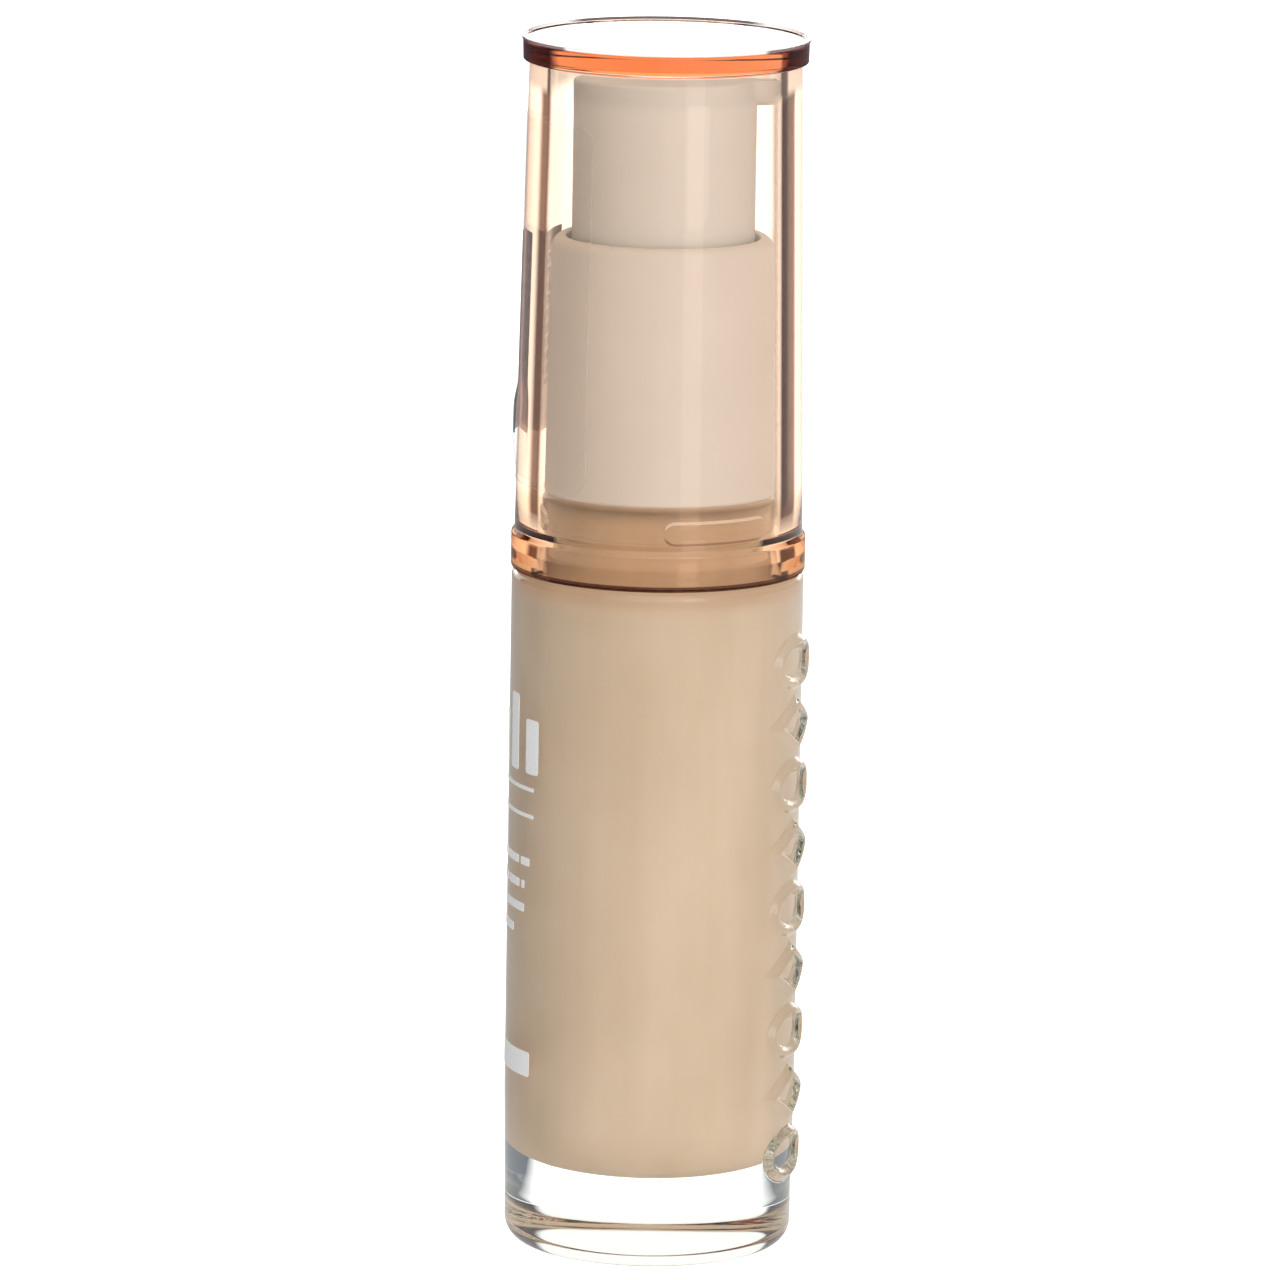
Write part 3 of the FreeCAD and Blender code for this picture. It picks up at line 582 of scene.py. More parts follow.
def plastic_finish(name, colour, other, rough, grain, soft=0.0, radius=(0.001, 0.001, 0.001)):
    """Moulded plastic: a faint cloud in the colour, a fine grain and uneven gloss."""
    material, tree = new_tree(name)
    where = place(tree)
    cloud = noise(tree, where, 90.0, 4.0)
    fine = noise(tree, where, 3200.0, 2.0)
    orange = noise(tree, where, 700.0, 2.0)
    height = calc(tree, "ADD", calc(tree, "MULTIPLY", fine, 0.5), orange)
    gloss = put(tree, "MapRange", Value=orange, From_Min=0.3, From_Max=0.7)
    gloss.inputs["To Min"].default_value = rough * 0.88
    gloss.inputs["To Max"].default_value = rough * 1.12
    shader = put(
        tree,
        "BsdfPrincipled",
        Base_Color=tinted(tree, cloud, 0.35, 0.65, colour, other),
        Roughness=gloss.outputs[0],
        Normal=bumped(tree, height, grain, 0.00003),
        IOR=1.49,
        Subsurface_Weight=soft,
        Subsurface_Radius=radius,
        Subsurface_Scale=1.0,
    )
    put(tree, "OutputMaterial", Surface=shader.outputs[0])
    return material


def liquid_finish():
    """Foundation wetted onto the glass: opaque, creamy, with faint upright streaks."""
    material, tree = new_tree("foundation_liquid_look")
    where = place(tree)
    streaks = noise(tree, stretched(tree, where, (1.0, 1.0, 0.12)), 210.0, 3.0)
    cloud = noise(tree, where, 60.0, 3.0)
    uneven = calc(tree, "MULTIPLY", calc(tree, "ADD", streaks, cloud), 0.5)
    shader = put(
        tree,
        "BsdfPrincipled",
        Base_Color=tinted(tree, uneven, 0.36, 0.64, (0.56, 0.412, 0.278), (0.655, 0.498, 0.352)),
        Roughness=0.55,
        Specular_IOR_Level=0.05,
        Subsurface_Weight=0.25,
        Subsurface_Radius=(0.0022, 0.0012, 0.0006),
        Subsurface_Scale=1.0,
        Normal=bumped(tree, cloud, 0.1, 0.0001),
    )
    put(tree, "OutputMaterial", Surface=shader.outputs[0])
    return material


def ink_finish():
    """White screen-printed ink, a little uneven in its cover."""
    material, tree = new_tree("white_ink_look")
    where = place(tree)
    mesh = noise(tree, where, 4200.0, 2.0)
    shader = put(
        tree,
        "BsdfPrincipled",
        Base_Color=tinted(tree, mesh, 0.3, 0.6, (0.86, 0.86, 0.85), (0.94, 0.94, 0.93)),
        Roughness=0.45,
        Normal=bumped(tree, mesh, 0.2, 0.00002),
    )
    put(tree, "OutputMaterial", Surface=shader.outputs[0])
    return material


def film_finish():
    """Clear label film: passes what is behind it, with a thin gloss of its own."""
    material, tree = new_tree("label_film_look")
    where = place(tree)
    wave = noise(tree, stretched(tree, where, (1.0, 1.0, 0.4)), 160.0, 2.0)
    gloss = put(tree, "BsdfGlossy", Roughness=0.08, Normal=bumped(tree, wave, 0.25, 0.0002))
    clear = put(tree, "BsdfTransparent", Color=(0.985, 0.985, 0.98, 1.0))
    front = calc(tree, "SUBTRACT", 1.0, put(tree, "NewGeometry").outputs["Backfacing"])
    rim = calc(tree, "MULTIPLY", put(tree, "Fresnel", IOR=1.25).outputs[0], front)
    put(tree, "OutputMaterial", Surface=blended(tree, rim, clear.outputs[0], gloss.outputs[0]))
    return material


def film_edge_finish():
    """Cut edge of the film, which catches the light as a faint line."""
    material, tree = new_tree("label_edge_look")
    where = place(tree)
    cut = noise(tree, where, 1500.0, 2.0)
    edge = put(tree, "BsdfDiffuse", Color=tinted(tree, cut, 0.3, 0.7, (0.45, 0.42, 0.36), (0.7, 0.68, 0.6)))
    clear = put(tree, "BsdfTransparent")
    put(tree, "OutputMaterial", Surface=blended(tree, 0.45, clear.outputs[0], edge.outputs[0]))
    return material


def panel_finish():
    """Printed part of the label: dark ink with light rules over a strip of silver."""
    material, tree = new_tree("label_panel_look")
    where = place(tree)
    apart = put(tree, "SeparateXYZ", Vector=where)
    height = calc(tree, "DIVIDE", apart.outputs["Z"], MM)
    silver = calc(tree, "LESS_THAN", height, PANEL_SPLIT_Z)
    phase = calc(tree, "FRACT", calc(tree, "DIVIDE", height, RULE_PITCH))
    rule = calc(tree, "LESS_THAN", phase, RULE_SHARE)
    inside = product(
        tree,
        calc(tree, "LESS_THAN", calc(tree, "ABSOLUTE", apart.outputs["X"]), RULE_HALF_LENGTH * MM),
        calc(tree, "LESS_THAN", height, PANEL_HIGH_Z - PANEL_MARGIN),
    )
    broken = noise(tree, stretched(tree, where, (1.0, 0.0, 9.0)), 900.0, 0.0)
    dashes = calc(tree, "GREATER_THAN", broken, 0.44)
    marks = product(tree, rule, inside, dashes)
    dark = tinted(tree, marks, 0.0, 1.0, (0.02, 0.016, 0.03), (0.5, 0.48, 0.46))
    cloud = noise(tree, where, 800.0, 2.0)
    grey = tinted(tree, cloud, 0.3, 0.7, (0.36, 0.36, 0.38), (0.48, 0.48, 0.5))
    shader = put(
        tree,
        "BsdfPrincipled",
        Base_Color=mixed(tree, silver, dark, grey),
        Roughness=put(tree, "MapRange", Value=cloud, To_Min=0.28, To_Max=0.42).outputs[0],
        Metallic=calc(tree, "MULTIPLY", silver, 0.6),
        Normal=bumped(tree, cloud, 0.15, 0.00004),
    )
    put(tree, "OutputMaterial", Surface=shader.outputs[0])
    return material


def steel_finish():
    """Drawn steel wire and a polished ball, with a fine grain."""
    material, tree = new_tree("steel_look")
    where = place(tree)
    grain = noise(tree, where, 2600.0, 3.0)
    shader = put(
        tree,
        "BsdfPrincipled",
        Base_Color=tinted(tree, grain, 0.3, 0.7, (0.55, 0.55, 0.56), (0.68, 0.68, 0.69)),
        Metallic=1.0,
        Roughness=put(tree, "MapRange", Value=grain, To_Min=0.16, To_Max=0.3).outputs[0],
        Normal=bumped(tree, grain, 0.1, 0.00002),
    )
    put(tree, "OutputMaterial", Surface=shader.outputs[0])
    return material


# The clear glass has a painted highlight and a painted shade on the neck lugs' edges.
GLASS = clear_finish("clear_glass_look", 1.5, (0.985, 0.995, 0.99), 0.045, tints_and_painted_shade=lug_tints_and_painted_shade, painted_highlight=lug_painted_highlight)
# The amber cap has painted shade on its foot, the disc's side, the lip and the rim.
AMBER = clear_finish(
    "amber_clear_look", 1.49, (1.0, 1.0, 1.0), 0.02, absorbing=(105.0, (0.98, 0.495, 0.07)), veil=0.94,
    tints_and_painted_shade=cap_tints_and_painted_shade,
)
LIQUID = liquid_finish()
INK = ink_finish()
FILM = film_finish()
FILM_EDGE = film_edge_finish()
PANEL = panel_finish()
STEEL = steel_finish()
IVORY = plastic_finish(
    "ivory_plastic_look", (0.7, 0.735, 0.73), (0.73, 0.765, 0.76), 0.5, 0.12,
    soft=0.12, radius=(0.0012, 0.001, 0.0007),
)
WHITE = plastic_finish("white_plastic_look", (0.80, 0.80, 0.78), (0.84, 0.84, 0.82), 0.4, 0.15)
NATURAL = plastic_finish(
    "natural_plastic_look", (0.72, 0.72, 0.68), (0.79, 0.79, 0.75), 0.42, 0.2,
    soft=0.3, radius=(0.002, 0.002, 0.002),
)
SOFT = plastic_finish("soft_white_look", (0.74, 0.74, 0.72), (0.8, 0.8, 0.78), 0.6, 0.3)
TUBE = clear_finish("clear_tube_look", 1.5, (0.95, 0.95, 0.93), 0.03, rough=0.12)

LOOKS = {
    "clear_glass": GLASS,
    "foundation_liquid": LIQUID,
    "white_ink": INK,
    "amber_clear": AMBER,
    "label_film": FILM,
    "ivory_plastic": IVORY,
    "white_plastic": WHITE,
    "natural_plastic": NATURAL,
    "clear_tube": TUBE,
    "soft_white": SOFT,
    "steel": STEEL,
}

for part in frame["record"]["subparts"]:
    node = frame["nodes"][part["node"]]
    for holder in node.material_slots:
        holder.link = "OBJECT"
        holder.material = LOOKS[part["material_slot"]]


# Bottle ---------------------------------------------------------------------------------------------


def bottle_inside(top_z, grow=0.0):
    """Corners of the hollow of the glass, from the axis at the floor up to top_z."""
    return [
        (0.0, FLOOR_Z - grow),
        (BODY_BORE_R + grow, FLOOR_Z - grow, FLOOR_ROUND),
        (BODY_BORE_R + grow, SHOULDER_Z - 2.4 + grow, 2.0),
        (NECK_BORE_R + grow, SHOULDER_Z + 0.8 + grow, 2.0),
        (NECK_BORE_R + grow, NECK_TOP_Z - 1.6 + grow, 2.0),
        (FINISH_BORE_R + grow, NECK_TOP_Z + 1.2 + grow, 1.0),
        (FINISH_BORE_R + grow, top_z),
    ]


def relief(angle, z):
    """Height of the raised column: oval and lozenge frames in turn."""
    index = round((z - RELIEF_LOW_Z) / RELIEF_PITCH)
    if not 0 <= index < RELIEF_COUNT:
        return 0.0
    turn = (math.degrees(angle) - (RELIEF_AZIMUTH - 90.0) + 180.0) % 360.0 - 180.0
    across = math.radians(turn) * BODY_R
    up = z - RELIEF_LOW_Z - index * RELIEF_PITCH
    if abs(across) > RELIEF_HALF_WIDTH + 1.5:
        return 0.0
    x, y = across / RELIEF_HALF_WIDTH, up / RELIEF_HALF_TALL
    if index % 2:
        slant = math.hypot(1 / RELIEF_HALF_WIDTH, 1 / RELIEF_HALF_TALL)
        away = abs(abs(x) + abs(y) - 1.0) / slant
    else:
        size = max(math.hypot(x, y), 1e-3)
        slope = math.hypot(x / RELIEF_HALF_WIDTH, y / RELIEF_HALF_TALL) / size
        away = abs(size - 1.0) / max(slope, 1e-3)
    ridge = min(1.0, away / RELIEF_HALF_STROKE)
    return RELIEF_HEIGHT * (1.0 - ridge * ridge * (3.0 - 2.0 * ridge))


def lugs(angle, z):
    """Height of the pill-shaped lugs on the neck base."""
    best = 0.0
    for i in range(LUG_COUNT):
        centre = LUG_FIRST_AZIMUTH + i * 360.0 / LUG_COUNT - 90.0
        turn = (math.degrees(angle) - centre + 180.0) % 360.0 - 180.0
        along = abs(math.radians(turn)) * NECK_R
        straight = math.radians(LUG_SPAN / 2) * NECK_R - LUG_HALF_TALL
        away = math.hypot(max(0.0, along - straight), z - LUG_MIDDLE_Z)
        best = max(best, min(1.0, max(0.0, (LUG_HALF_TALL - away) / LUG_BEVEL)))
    return LUG_HEIGHT * math.sin(best * math.pi / 2)


def thread(angle, z):
    """Height of the screw thread, fading in and out at its ends."""
    best = 0.0
    for whole in range(3):
        progress = angle / (2 * math.pi) + whole
        if not 0.0 <= progress <= THREAD_TURNS:
            continue
        away = abs(z - THREAD_START_Z - THREAD_PITCH * progress)
        flank = (THREAD_BASE_HALF - away) / (THREAD_BASE_HALF - THREAD_CREST_HALF)
        fade = min(1.0, progress / THREAD_FADE, (THREAD_TURNS - progress) / THREAD_FADE)
        best = max(best, fade * min(1.0, max(0.0, flank)))
    return THREAD_HEIGHT * best


def glass_field(angle, r, z):
    """Everything raised on the outside of the glass."""
    if r > BODY_R - 0.25 and RELIEF_FROM_Z < z < RELIEF_TO_Z:
        return relief(angle, z)
    if abs(r - NECK_R) < 0.01:
        return lugs(angle, z)
    if abs(r - FINISH_R) < 0.01 and z < LIP_Z - 0.6:
        return thread(angle, z)
    return 0.0


def glass_rows(r, z):
    """Where the glass needs close rows."""
    if r > BODY_R - 0.25:
        return RELIEF_FROM_Z < z < RELIEF_TO_Z
    if abs(r - NECK_R) < 0.01:
        return True
    return abs(r - FINISH_R) < 0.01 and 81.8 < z < 90.0


glass_outline = bottle_inside(LIP_Z) + [
    (FINISH_R, LIP_Z, 0.5),
    (FINISH_R, NECK_TOP_Z, 0.6),
    (NECK_R, NECK_TOP_Z, 0.6),
    (NECK_R, NECK_BEAD_Z, 0.15),
    (GROOVE_R, NECK_BEAD_Z - 0.4, 0.4),
    (GROOVE_R, SHOULDER_Z, 0.4),
    (BODY_R, SHOULDER_Z, 0.9),
    (BODY_R, BODY_FOOT_Z),
    (BASE_R, BASE_TOP_Z),
    (BASE_R, 0.0, BASE_ROUND),
    (FOOT_RING_R, 0.0, 0.5),
    (PUNT_R, PUNT_EDGE_Z, 1.5),
    (0.0, PUNT_Z),
]
lug_sectors = [
    (LUG_FIRST_AZIMUTH + i * 360.0 / LUG_COUNT - 90.0, LUG_SPAN / 2 + 1.0, 0.5)
    for i in range(LUG_COUNT)
]
glass_angles = turns(1.25, [(RELIEF_AZIMUTH - 90.0, 19.5, 0.5)] + lug_sectors)
glass_rows_cut = refined(rounded(glass_outline), glass_rows, 0.2)
glass_rows_cut = refined(glass_rows_cut, lambda r, z: abs(r - NECK_R) < 0.01, 0.1)
piece(
    "bottle_glass",
    lathe("bottle_glass", glass_rows_cut, glass_angles, glass_field),
    "bottle",
    "clear_glass",
    [GLASS],
    "glass_bottle",
)

liquid_outline = bottle_inside(FILL_TOP_Z, WETTING) + [
    (PUMP_R, FILL_TOP_Z - 0.05),
    (PUMP_R, PUMP_TAPER_Z),
    (PUMP_SOCKET_R, PUMP_SOCKET_TOP_Z),
    (PUMP_SOCKET_R, PUMP_SOCKET_FOOT_Z),
    (DIP_TUBE_R, PUMP_SOCKET_FOOT_Z),
    (DIP_TUBE_R, DIP_TUBE_FOOT_Z),
    (0.0, DIP_TUBE_FOOT_Z),
]
piece(
    "foundation",
    lathe("foundation", rounded(liquid_outline, 7.0), turns(1.25)),
    "bottle",
    "foundation_liquid",
    [LIQUID],
    "foundation_fill",
)


def ink_inner(azimuth, z):
    """Radius of the print's back, just off the glass."""
    return INK_BACK_R


def ink_outer(azimuth, z):
    """Radius of the print's front."""
    return INK_FRONT_R


def ink_bar(verts, faces, from_x, to_x, low, high, corner=0.18):
    """A printed bar between two distances around the front, in millimetres."""
    middle = math.degrees((from_x + to_x) / 2 / BODY_R)
    half = math.degrees((to_x - from_x) / 2 / BODY_R)
    columns = max(4, math.ceil(half * 2))
    patch(verts, faces, middle, half, low, high, corner, ink_inner, ink_outer, columns)


def printed_bars():
    """White print: upright bars, two rules, rows of short dashes and a split foot row."""
    verts, faces = [], []
    for i in range(6):
        middle = (i - 2.5) * 4.1
        drop = 2.2 if i % 2 else 0.0
        ink_bar(verts, faces, middle - 1.15, middle + 1.15, 50.4, 58.3 - drop, 0.35)
    for z in (49.0, 46.2):
        ink_bar(verts, faces, -10.7, 10.7, z - 0.4, z, 0.12)
    chance = random.Random(7)
    for i, half in enumerate((10.1, 9.1, 9.1, 6.5)):
        top = 41.6 - i * 2.45
        x = -half
        while x < half - 0.6:
            length = chance.uniform(3.0, 6.5)
            end = min(half, x + length)
            if half - end < 1.0:
                end = half
            ink_bar(verts, faces, x, end, top - 0.85, top, 0.16)
            x = end + 0.55
    for side in (-1, 1):
        near, far = side * 0.8, side * INK_REACH
        ink_bar(verts, faces, min(near, far), max(near, far), 18.7, 21.3, 0.3)
    return made_mesh("printed_bars", verts, faces)


piece("printed_bars", printed_bars(), "bottle", "white_ink", [INK], "front_print")


# Collar and pump head -------------------------------------------------------------------------------

collar_outline = [
    (COLLAR_FOOT_BORE_R, COLLAR_FOOT_Z),
    (COLLAR_FOOT_R, COLLAR_FOOT_Z, 0.35),
    (COLLAR_TOP_R, COLLAR_TOP_Z, 1.0),
    (COLLAR_MOUTH_R, COLLAR_TOP_Z, 0.25),
    (COLLAR_MOUTH_R, COLLAR_TOP_Z - 1.2),
    (COLLAR_HEAD_BORE_R, COLLAR_TOP_Z - 1.47),
    (COLLAR_HEAD_BORE_R, COLLAR_WEB_TOP_Z),
    (COLLAR_WEB_R, COLLAR_WEB_TOP_Z),
    (COLLAR_WEB_R, COLLAR_WEB_FOOT_Z),
    (COLLAR_NUT_BORE_R, COLLAR_WEB_FOOT_Z),
    (COLLAR_NUT_BORE_R, COLLAR_FOOT_Z + 0.8),
    (COLLAR_FOOT_BORE_R, COLLAR_FOOT_Z + 0.5),
]
piece(
    "collar_shell",
    lathe("collar_shell", rounded(collar_outline), turns(1.25)),
    "closure",
    "ivory_plastic",
    [IVORY],
    "collar_sleeve",
)


def in_spout(x, y, z):
    """Whether a point is inside the spout: flat on top, half round below, flared at its root."""
    if y > SPOUT_REACH or z < SPOUT_FOOT_Z:
        return False
    low = (SPOUT_MIDDLE_Z - z) / (SPOUT_MIDDLE_Z - SPOUT_FOOT_Z)
    waist = math.sqrt(max(0.0, 1.0 - low * low)) if low > 0 else 1.0
    flare = 2.6 * max(0.0, (10.4 - y) / 2.4) ** 2
    top_edge = max(0.0, z - (HEAD_TOP_Z - 0.3)) / 0.3
    side_edge = max(0.0, abs(x) - (SPOUT_HALF_WIDTH - 0.4)) / 0.4
    edge = min(1.0, math.hypot(top_edge, min(1.0, side_edge)))
    end = SPOUT_REACH - 0.35 * (1.0 - math.sqrt(1.0 - edge * edge))
    if abs(x) > (SPOUT_HALF_WIDTH + flare) * waist or y > end:
        return False
    return True


def head_field(angle, r, z):
    """Reach of the spout beyond the head's wall, with the nozzle sunk in its end."""
    if r < 8.8 or z < SPOUT_FOOT_Z - 0.05:
        return 0.0
    turn = angle - math.pi / 2
    if abs(turn) > math.radians(32.0):
        return 0.0
    reach = SPOUT_REACH + 0.3
    while reach > r and not in_spout(reach * math.sin(turn), reach * math.cos(turn), z):
        reach -= 0.02
    sideways = reach * math.sin(turn)
    if reach > 11.0 and math.hypot(sideways, z - NOZZLE_Z) < NOZZLE_R:
        reach -= NOZZLE_DEPTH
    return max(0.0, reach - r)


head_outline = [
    (HEAD_R - HEAD_WALL, HEAD_FOOT_Z),
    (HEAD_R, HEAD_FOOT_Z, 0.2),
    (HEAD_R, HEAD_TOP_Z, 0.5),
    (0.0, HEAD_TOP_Z),
    (0.0, STEM_TOP_Z),
    (STEM_R, STEM_TOP_Z),
    (STEM_R, BOSS_FOOT_Z),
    (BOSS_R, BOSS_FOOT_Z, 0.3),
    (BOSS_R, HEAD_ROOF_Z, 0.4),
    (HEAD_R - HEAD_WALL, HEAD_ROOF_Z, 0.5),
]
head_rows = refined(rounded(head_outline, 7.0), lambda r, z: r > 9.3 and z > 118.9, 0.1)
head_angles = turns(1.25, [(90.0, 34.0, 0.5), (90.0, 10.0, 0.2)])
piece(
    "pump_head",
    lathe("pump_head", head_rows, head_angles, head_field),
    "head",
    "ivory_plastic",
    [IVORY],
    "actuator",
)


# Overcap and its label ------------------------------------------------------------------------------

cap_outline = [
    (0.0, CAP_FACE_Z),
    (0.0, CAP_ROOF_Z),
    (cap_inner_r(CAP_ROOF_Z), CAP_ROOF_Z, 0.5),
    (cap_inner_r(CAP_BORE_FOOT_Z), CAP_BORE_FOOT_Z, 0.3),
    (CAP_BEAD_R, CAP_BEAD_TOP_Z, 0.4),
    (CAP_BEAD_R, CAP_BEAD_FOOT_Z, 0.4),
    (CAP_BEAD_R + 0.3, CAP_FOOT_Z + 0.8, 0.4),
    (CAP_BEAD_R + 0.4, CAP_FOOT_Z),
    (CAP_FOOT_R, CAP_FOOT_Z, 0.4),
    (CAP_FOOT_R, CAP_FOOT_TOP_Z, 0.4),
    (cap_outer_r(CAP_WALL_FOOT_Z), CAP_WALL_FOOT_Z, 0.3),
    (cap_outer_r(CAP_DISC_LOW_Z), CAP_DISC_LOW_Z, 0.1),
    (CAP_DISC_R, CAP_DISC_LOW_Z, 0.15),
    (CAP_DISC_R + 0.05, TOTAL_HEIGHT - 0.6, 0.5),
    (CAP_RIM_R, TOTAL_HEIGHT - 0.06, 0.02),
    (CAP_RIM_R, TOTAL_HEIGHT, 0.02),
    (CAP_LIP_R, TOTAL_HEIGHT, 0.05),
    (CAP_LIP_R, CAP_FACE_Z, 0.04),
]
cap_rows = refined(rounded(cap_outline), lambda r, z: 76.0 < z < 123.0 and r > 11.0, 4.0)
cap_mesh = lathe("cap_shell", cap_rows, turns(1.0))
piece("cap_shell", cap_mesh, "overcap", "amber_clear", [AMBER], "overcap")


def label_lift(azimuth, z):
    """How far the label stands off the wall: a little where its printed part has come loose."""
    low = max(0.0, min(1.0, (PANEL_SPLIT_Z + 1.0 - z) / 3.0, (z - LABEL_LOW_Z - 0.5) / 3.0))
    side = max(0.0, min(1.0, (PANEL_HALF_ANGLE + 5.0 - abs(azimuth - PANEL_MIDDLE)) / 8.0))
    return 0.4 * (low * low * (3 - 2 * low)) * (side * side * (3 - 2 * side))


def label_inner(azimuth, z):
    """Radius of the label's glued side."""
    return cap_outer_r(z) + 0.02 + label_lift(azimuth, z)


def label_outer(azimuth, z):
    """Radius of the label's shown side."""
    return cap_outer_r(z) + 0.12 + label_lift(azimuth, z)


def cap_label():
    """The wrapped label, its printed part and its cut edge marked by material."""
    verts, faces = [], []
    rows = [LABEL_LOW_Z + LABEL_CORNER + 0.5 * k for k in range(1, 72)]
    rows += [PANEL_LOW_Z, PANEL_SPLIT_Z, PANEL_HIGH_Z]
    patch(
        verts, faces, 0.0, LABEL_HALF_ANGLE, LABEL_LOW_Z, LABEL_HIGH_Z, LABEL_CORNER,
        label_inner, label_outer, 124, rows,
    )
    mesh = made_mesh("cap_label", verts, faces)
    for face in mesh.polygons:
        middle = face.center
        azimuth = math.degrees(math.atan2(middle.y, middle.x)) + 90.0
        radial = Vector((middle.x, middle.y, 0.0)).normalized()
        if abs(face.normal.dot(radial)) < 0.5:
            face.material_index = 1
        elif abs(azimuth - PANEL_MIDDLE) < PANEL_HALF_ANGLE and (
            PANEL_LOW_Z * MM < middle.z < PANEL_HIGH_Z * MM
        ):
            face.material_index = 2
    return mesh


piece("cap_label", cap_label(), "overcap", "label_film", [FILM, FILM_EDGE, PANEL], "seal_label")


# Spring ---------------------------------------------------------------------------------------------


def coil(mean_r, wire_r, low, high, count):
    """A coil spring's wire as a closed tube."""
    sides, steps = 12, 36 * count
    slope = math.atan2((high - low) / count, 2 * math.pi * mean_r)
    verts, faces = [], []
    for k in range(steps + 1):
        angle = 2 * math.pi * count * k / steps
        out = Vector((math.cos(angle), math.sin(angle), 0.0))
        along = Vector((-math.sin(angle), math.cos(angle), 0.0)) * math.cos(slope)
        along.z = math.sin(slope)
        up = out.cross(along)
        centre = out * mean_r + Vector((0.0, 0.0, low + (high - low) * k / steps))
        for m in range(sides):
            turn = 2 * math.pi * m / sides
            verts.append((centre + (out * math.cos(turn) + up * math.sin(turn)) * wire_r) * MM)
    for k in range(steps):
        for m in range(sides):
            n = (m + 1) % sides
            a, b = k * sides, (k + 1) * sides
            faces.append((a + m, a + n, b + n, b + m))
    faces.append(tuple(range(sides))[::-1])
    faces.append(tuple(steps * sides + m for m in range(sides)))
    return made_mesh("spring_coil", verts, faces)


spring_mesh = coil(COIL_R, WIRE_R, COIL_FOOT_Z, COIL_TOP_Z, COIL_TURNS)
spring = piece("spring_coil", spring_mesh, "pump_body", "steel", [STEEL], "return_spring")
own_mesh(spring)


# Studio ---------------------------------------------------------------------------------------------

FLOOR_R = 2.5
FLOOR_SIDES = 96
FLOOR_GAP = 0.00005
ROOM_POWER = 2.1
THROUGH_POWER = 2.0
BACKDROP_POWER = 1.1
SLOT_POWER = 2.2
LIGHTS_AIM_Z = 0.065

VIEW_AZIMUTH = math.radians(96.0)
TOWARDS = Vector((math.sin(VIEW_AZIMUTH), -math.cos(VIEW_AZIMUTH), 0.0))
RIGHT = Vector((-TOWARDS.y, TOWARDS.x, 0.0))


def level_part(tree, x, y, direction):
    """How far a place or a ray goes along a level direction."""
    return calc(tree, "ADD", calc(tree, "MULTIPLY", x, direction.x), calc(tree, "MULTIPLY", y, direction.y))


def floor():
    """A pale floor. What is seen through clear walls passes its far part and shows the backdrop.

    Beside the bottle it is dusky to rays that come through the glass, and to reflections on the left.
    """
    material, tree = new_tree("studio_floor")
    where = place(tree)
    cloud = noise(tree, where, 9.0, 3.0)
    pale = tinted(tree, cloud, 0.3, 0.7, (0.90, 0.90, 0.90), (0.93, 0.93, 0.93))
    lit = put(tree, "BsdfDiffuse", Color=pale)
    path = put(tree, "LightPath")
    power = calc(tree, "MULTIPLY", path.outputs["Is Camera Ray"], 0.8)
    power = calc(tree, "ADD", power, calc(tree, "MULTIPLY", path.outputs["Is Diffuse Ray"], 0.12))
    power = calc(tree, "ADD", power, calc(tree, "MULTIPLY", path.outputs["Is Transmission Ray"], 0.6))
    glow = put(tree, "Emission", Color=(1.0, 1.0, 1.0, 1.0), Strength=power)
    both = tree.nodes.new("ShaderNodeAddShader")
    tree.links.new(lit.outputs[0], both.inputs[0])
    tree.links.new(glow.outputs[0], both.inputs[1])
    reach = put(tree, "VectorMath", {"operation": "LENGTH"}, Vector=where).outputs["Value"]
    x, y, _ = put(tree, "SeparateXYZ", Vector=where).outputs
    behind = level_part(tree, x, y, -TOWARDS)
    side = level_part(tree, x, y, RIGHT)
    spread = calc(tree, "MULTIPLY", calc(tree, "SUBTRACT", behind, BODY_R * MM), 0.8)
    beyond = calc(tree, "SUBTRACT", calc(tree, "ABSOLUTE", side), spread)
    shade = product(
        tree,
        between(tree, beyond, -0.002, 0.003),
        between(tree, reach, 0.09, 0.07),
        path.outputs["Is Transmission Ray"],
    )
    left = product(tree, between(tree, side, 0.0, -0.06), path.outputs["Is Reflection Ray"])
    shade = calc(tree, "MAXIMUM", shade, calc(tree, "MULTIPLY", left, 0.5))
    dusk = put(tree, "Emission", Color=(0.86, 0.96, 1.06, 1.0), Strength=0.2)
    lower = blended(tree, shade, both.outputs[0], dusk.outputs[0])
    far = between(tree, reach, 0.25, 0.35)
    share = calc(tree, "MULTIPLY", far, path.outputs["Is Transmission Ray"])
    clear = put(tree, "BsdfTransparent")
    put(tree, "OutputMaterial", Surface=blended(tree, share, lower, clear.outputs[0]))
    ring = [2 * math.pi * k / FLOOR_SIDES for k in range(FLOOR_SIDES)]
    corners = [(FLOOR_R * math.cos(a), FLOOR_R * math.sin(a), -FLOOR_GAP) for a in ring]
    mesh = bpy.data.meshes.new("studio_floor")
    mesh.from_pydata(corners, [], [tuple(range(FLOOR_SIDES))])
    mesh.materials.append(material)
    obj = bpy.data.objects.new("studio_floor", mesh)
    bpy.context.scene.collection.objects.link(obj)


def softbox(name, azimuth, elevation, away, wide, tall, radiance):
    """A soft area light aimed at the middle of the bottle, placed from the camera's azimuth."""
    data = bpy.data.lights.new(name, "AREA")
    data.shape = "RECTANGLE"
    data.size = wide
    data.size_y = tall
    data.energy = radiance * math.pi * wide * tall
    light = bpy.data.objects.new(name, data)
    bpy.context.scene.collection.objects.link(light)
    turn = VIEW_AZIMUTH + math.radians(azimuth)
    rise = math.radians(elevation)
    back = Vector((math.sin(turn) * math.cos(rise), -math.cos(turn) * math.cos(rise), math.sin(rise)))
    light.location = Vector((0.0, 0.0, LIGHTS_AIM_Z)) + back * away
    light.rotation_mode = "QUATERNION"
    light.rotation_quaternion = back.to_track_quat("Z", "Y")


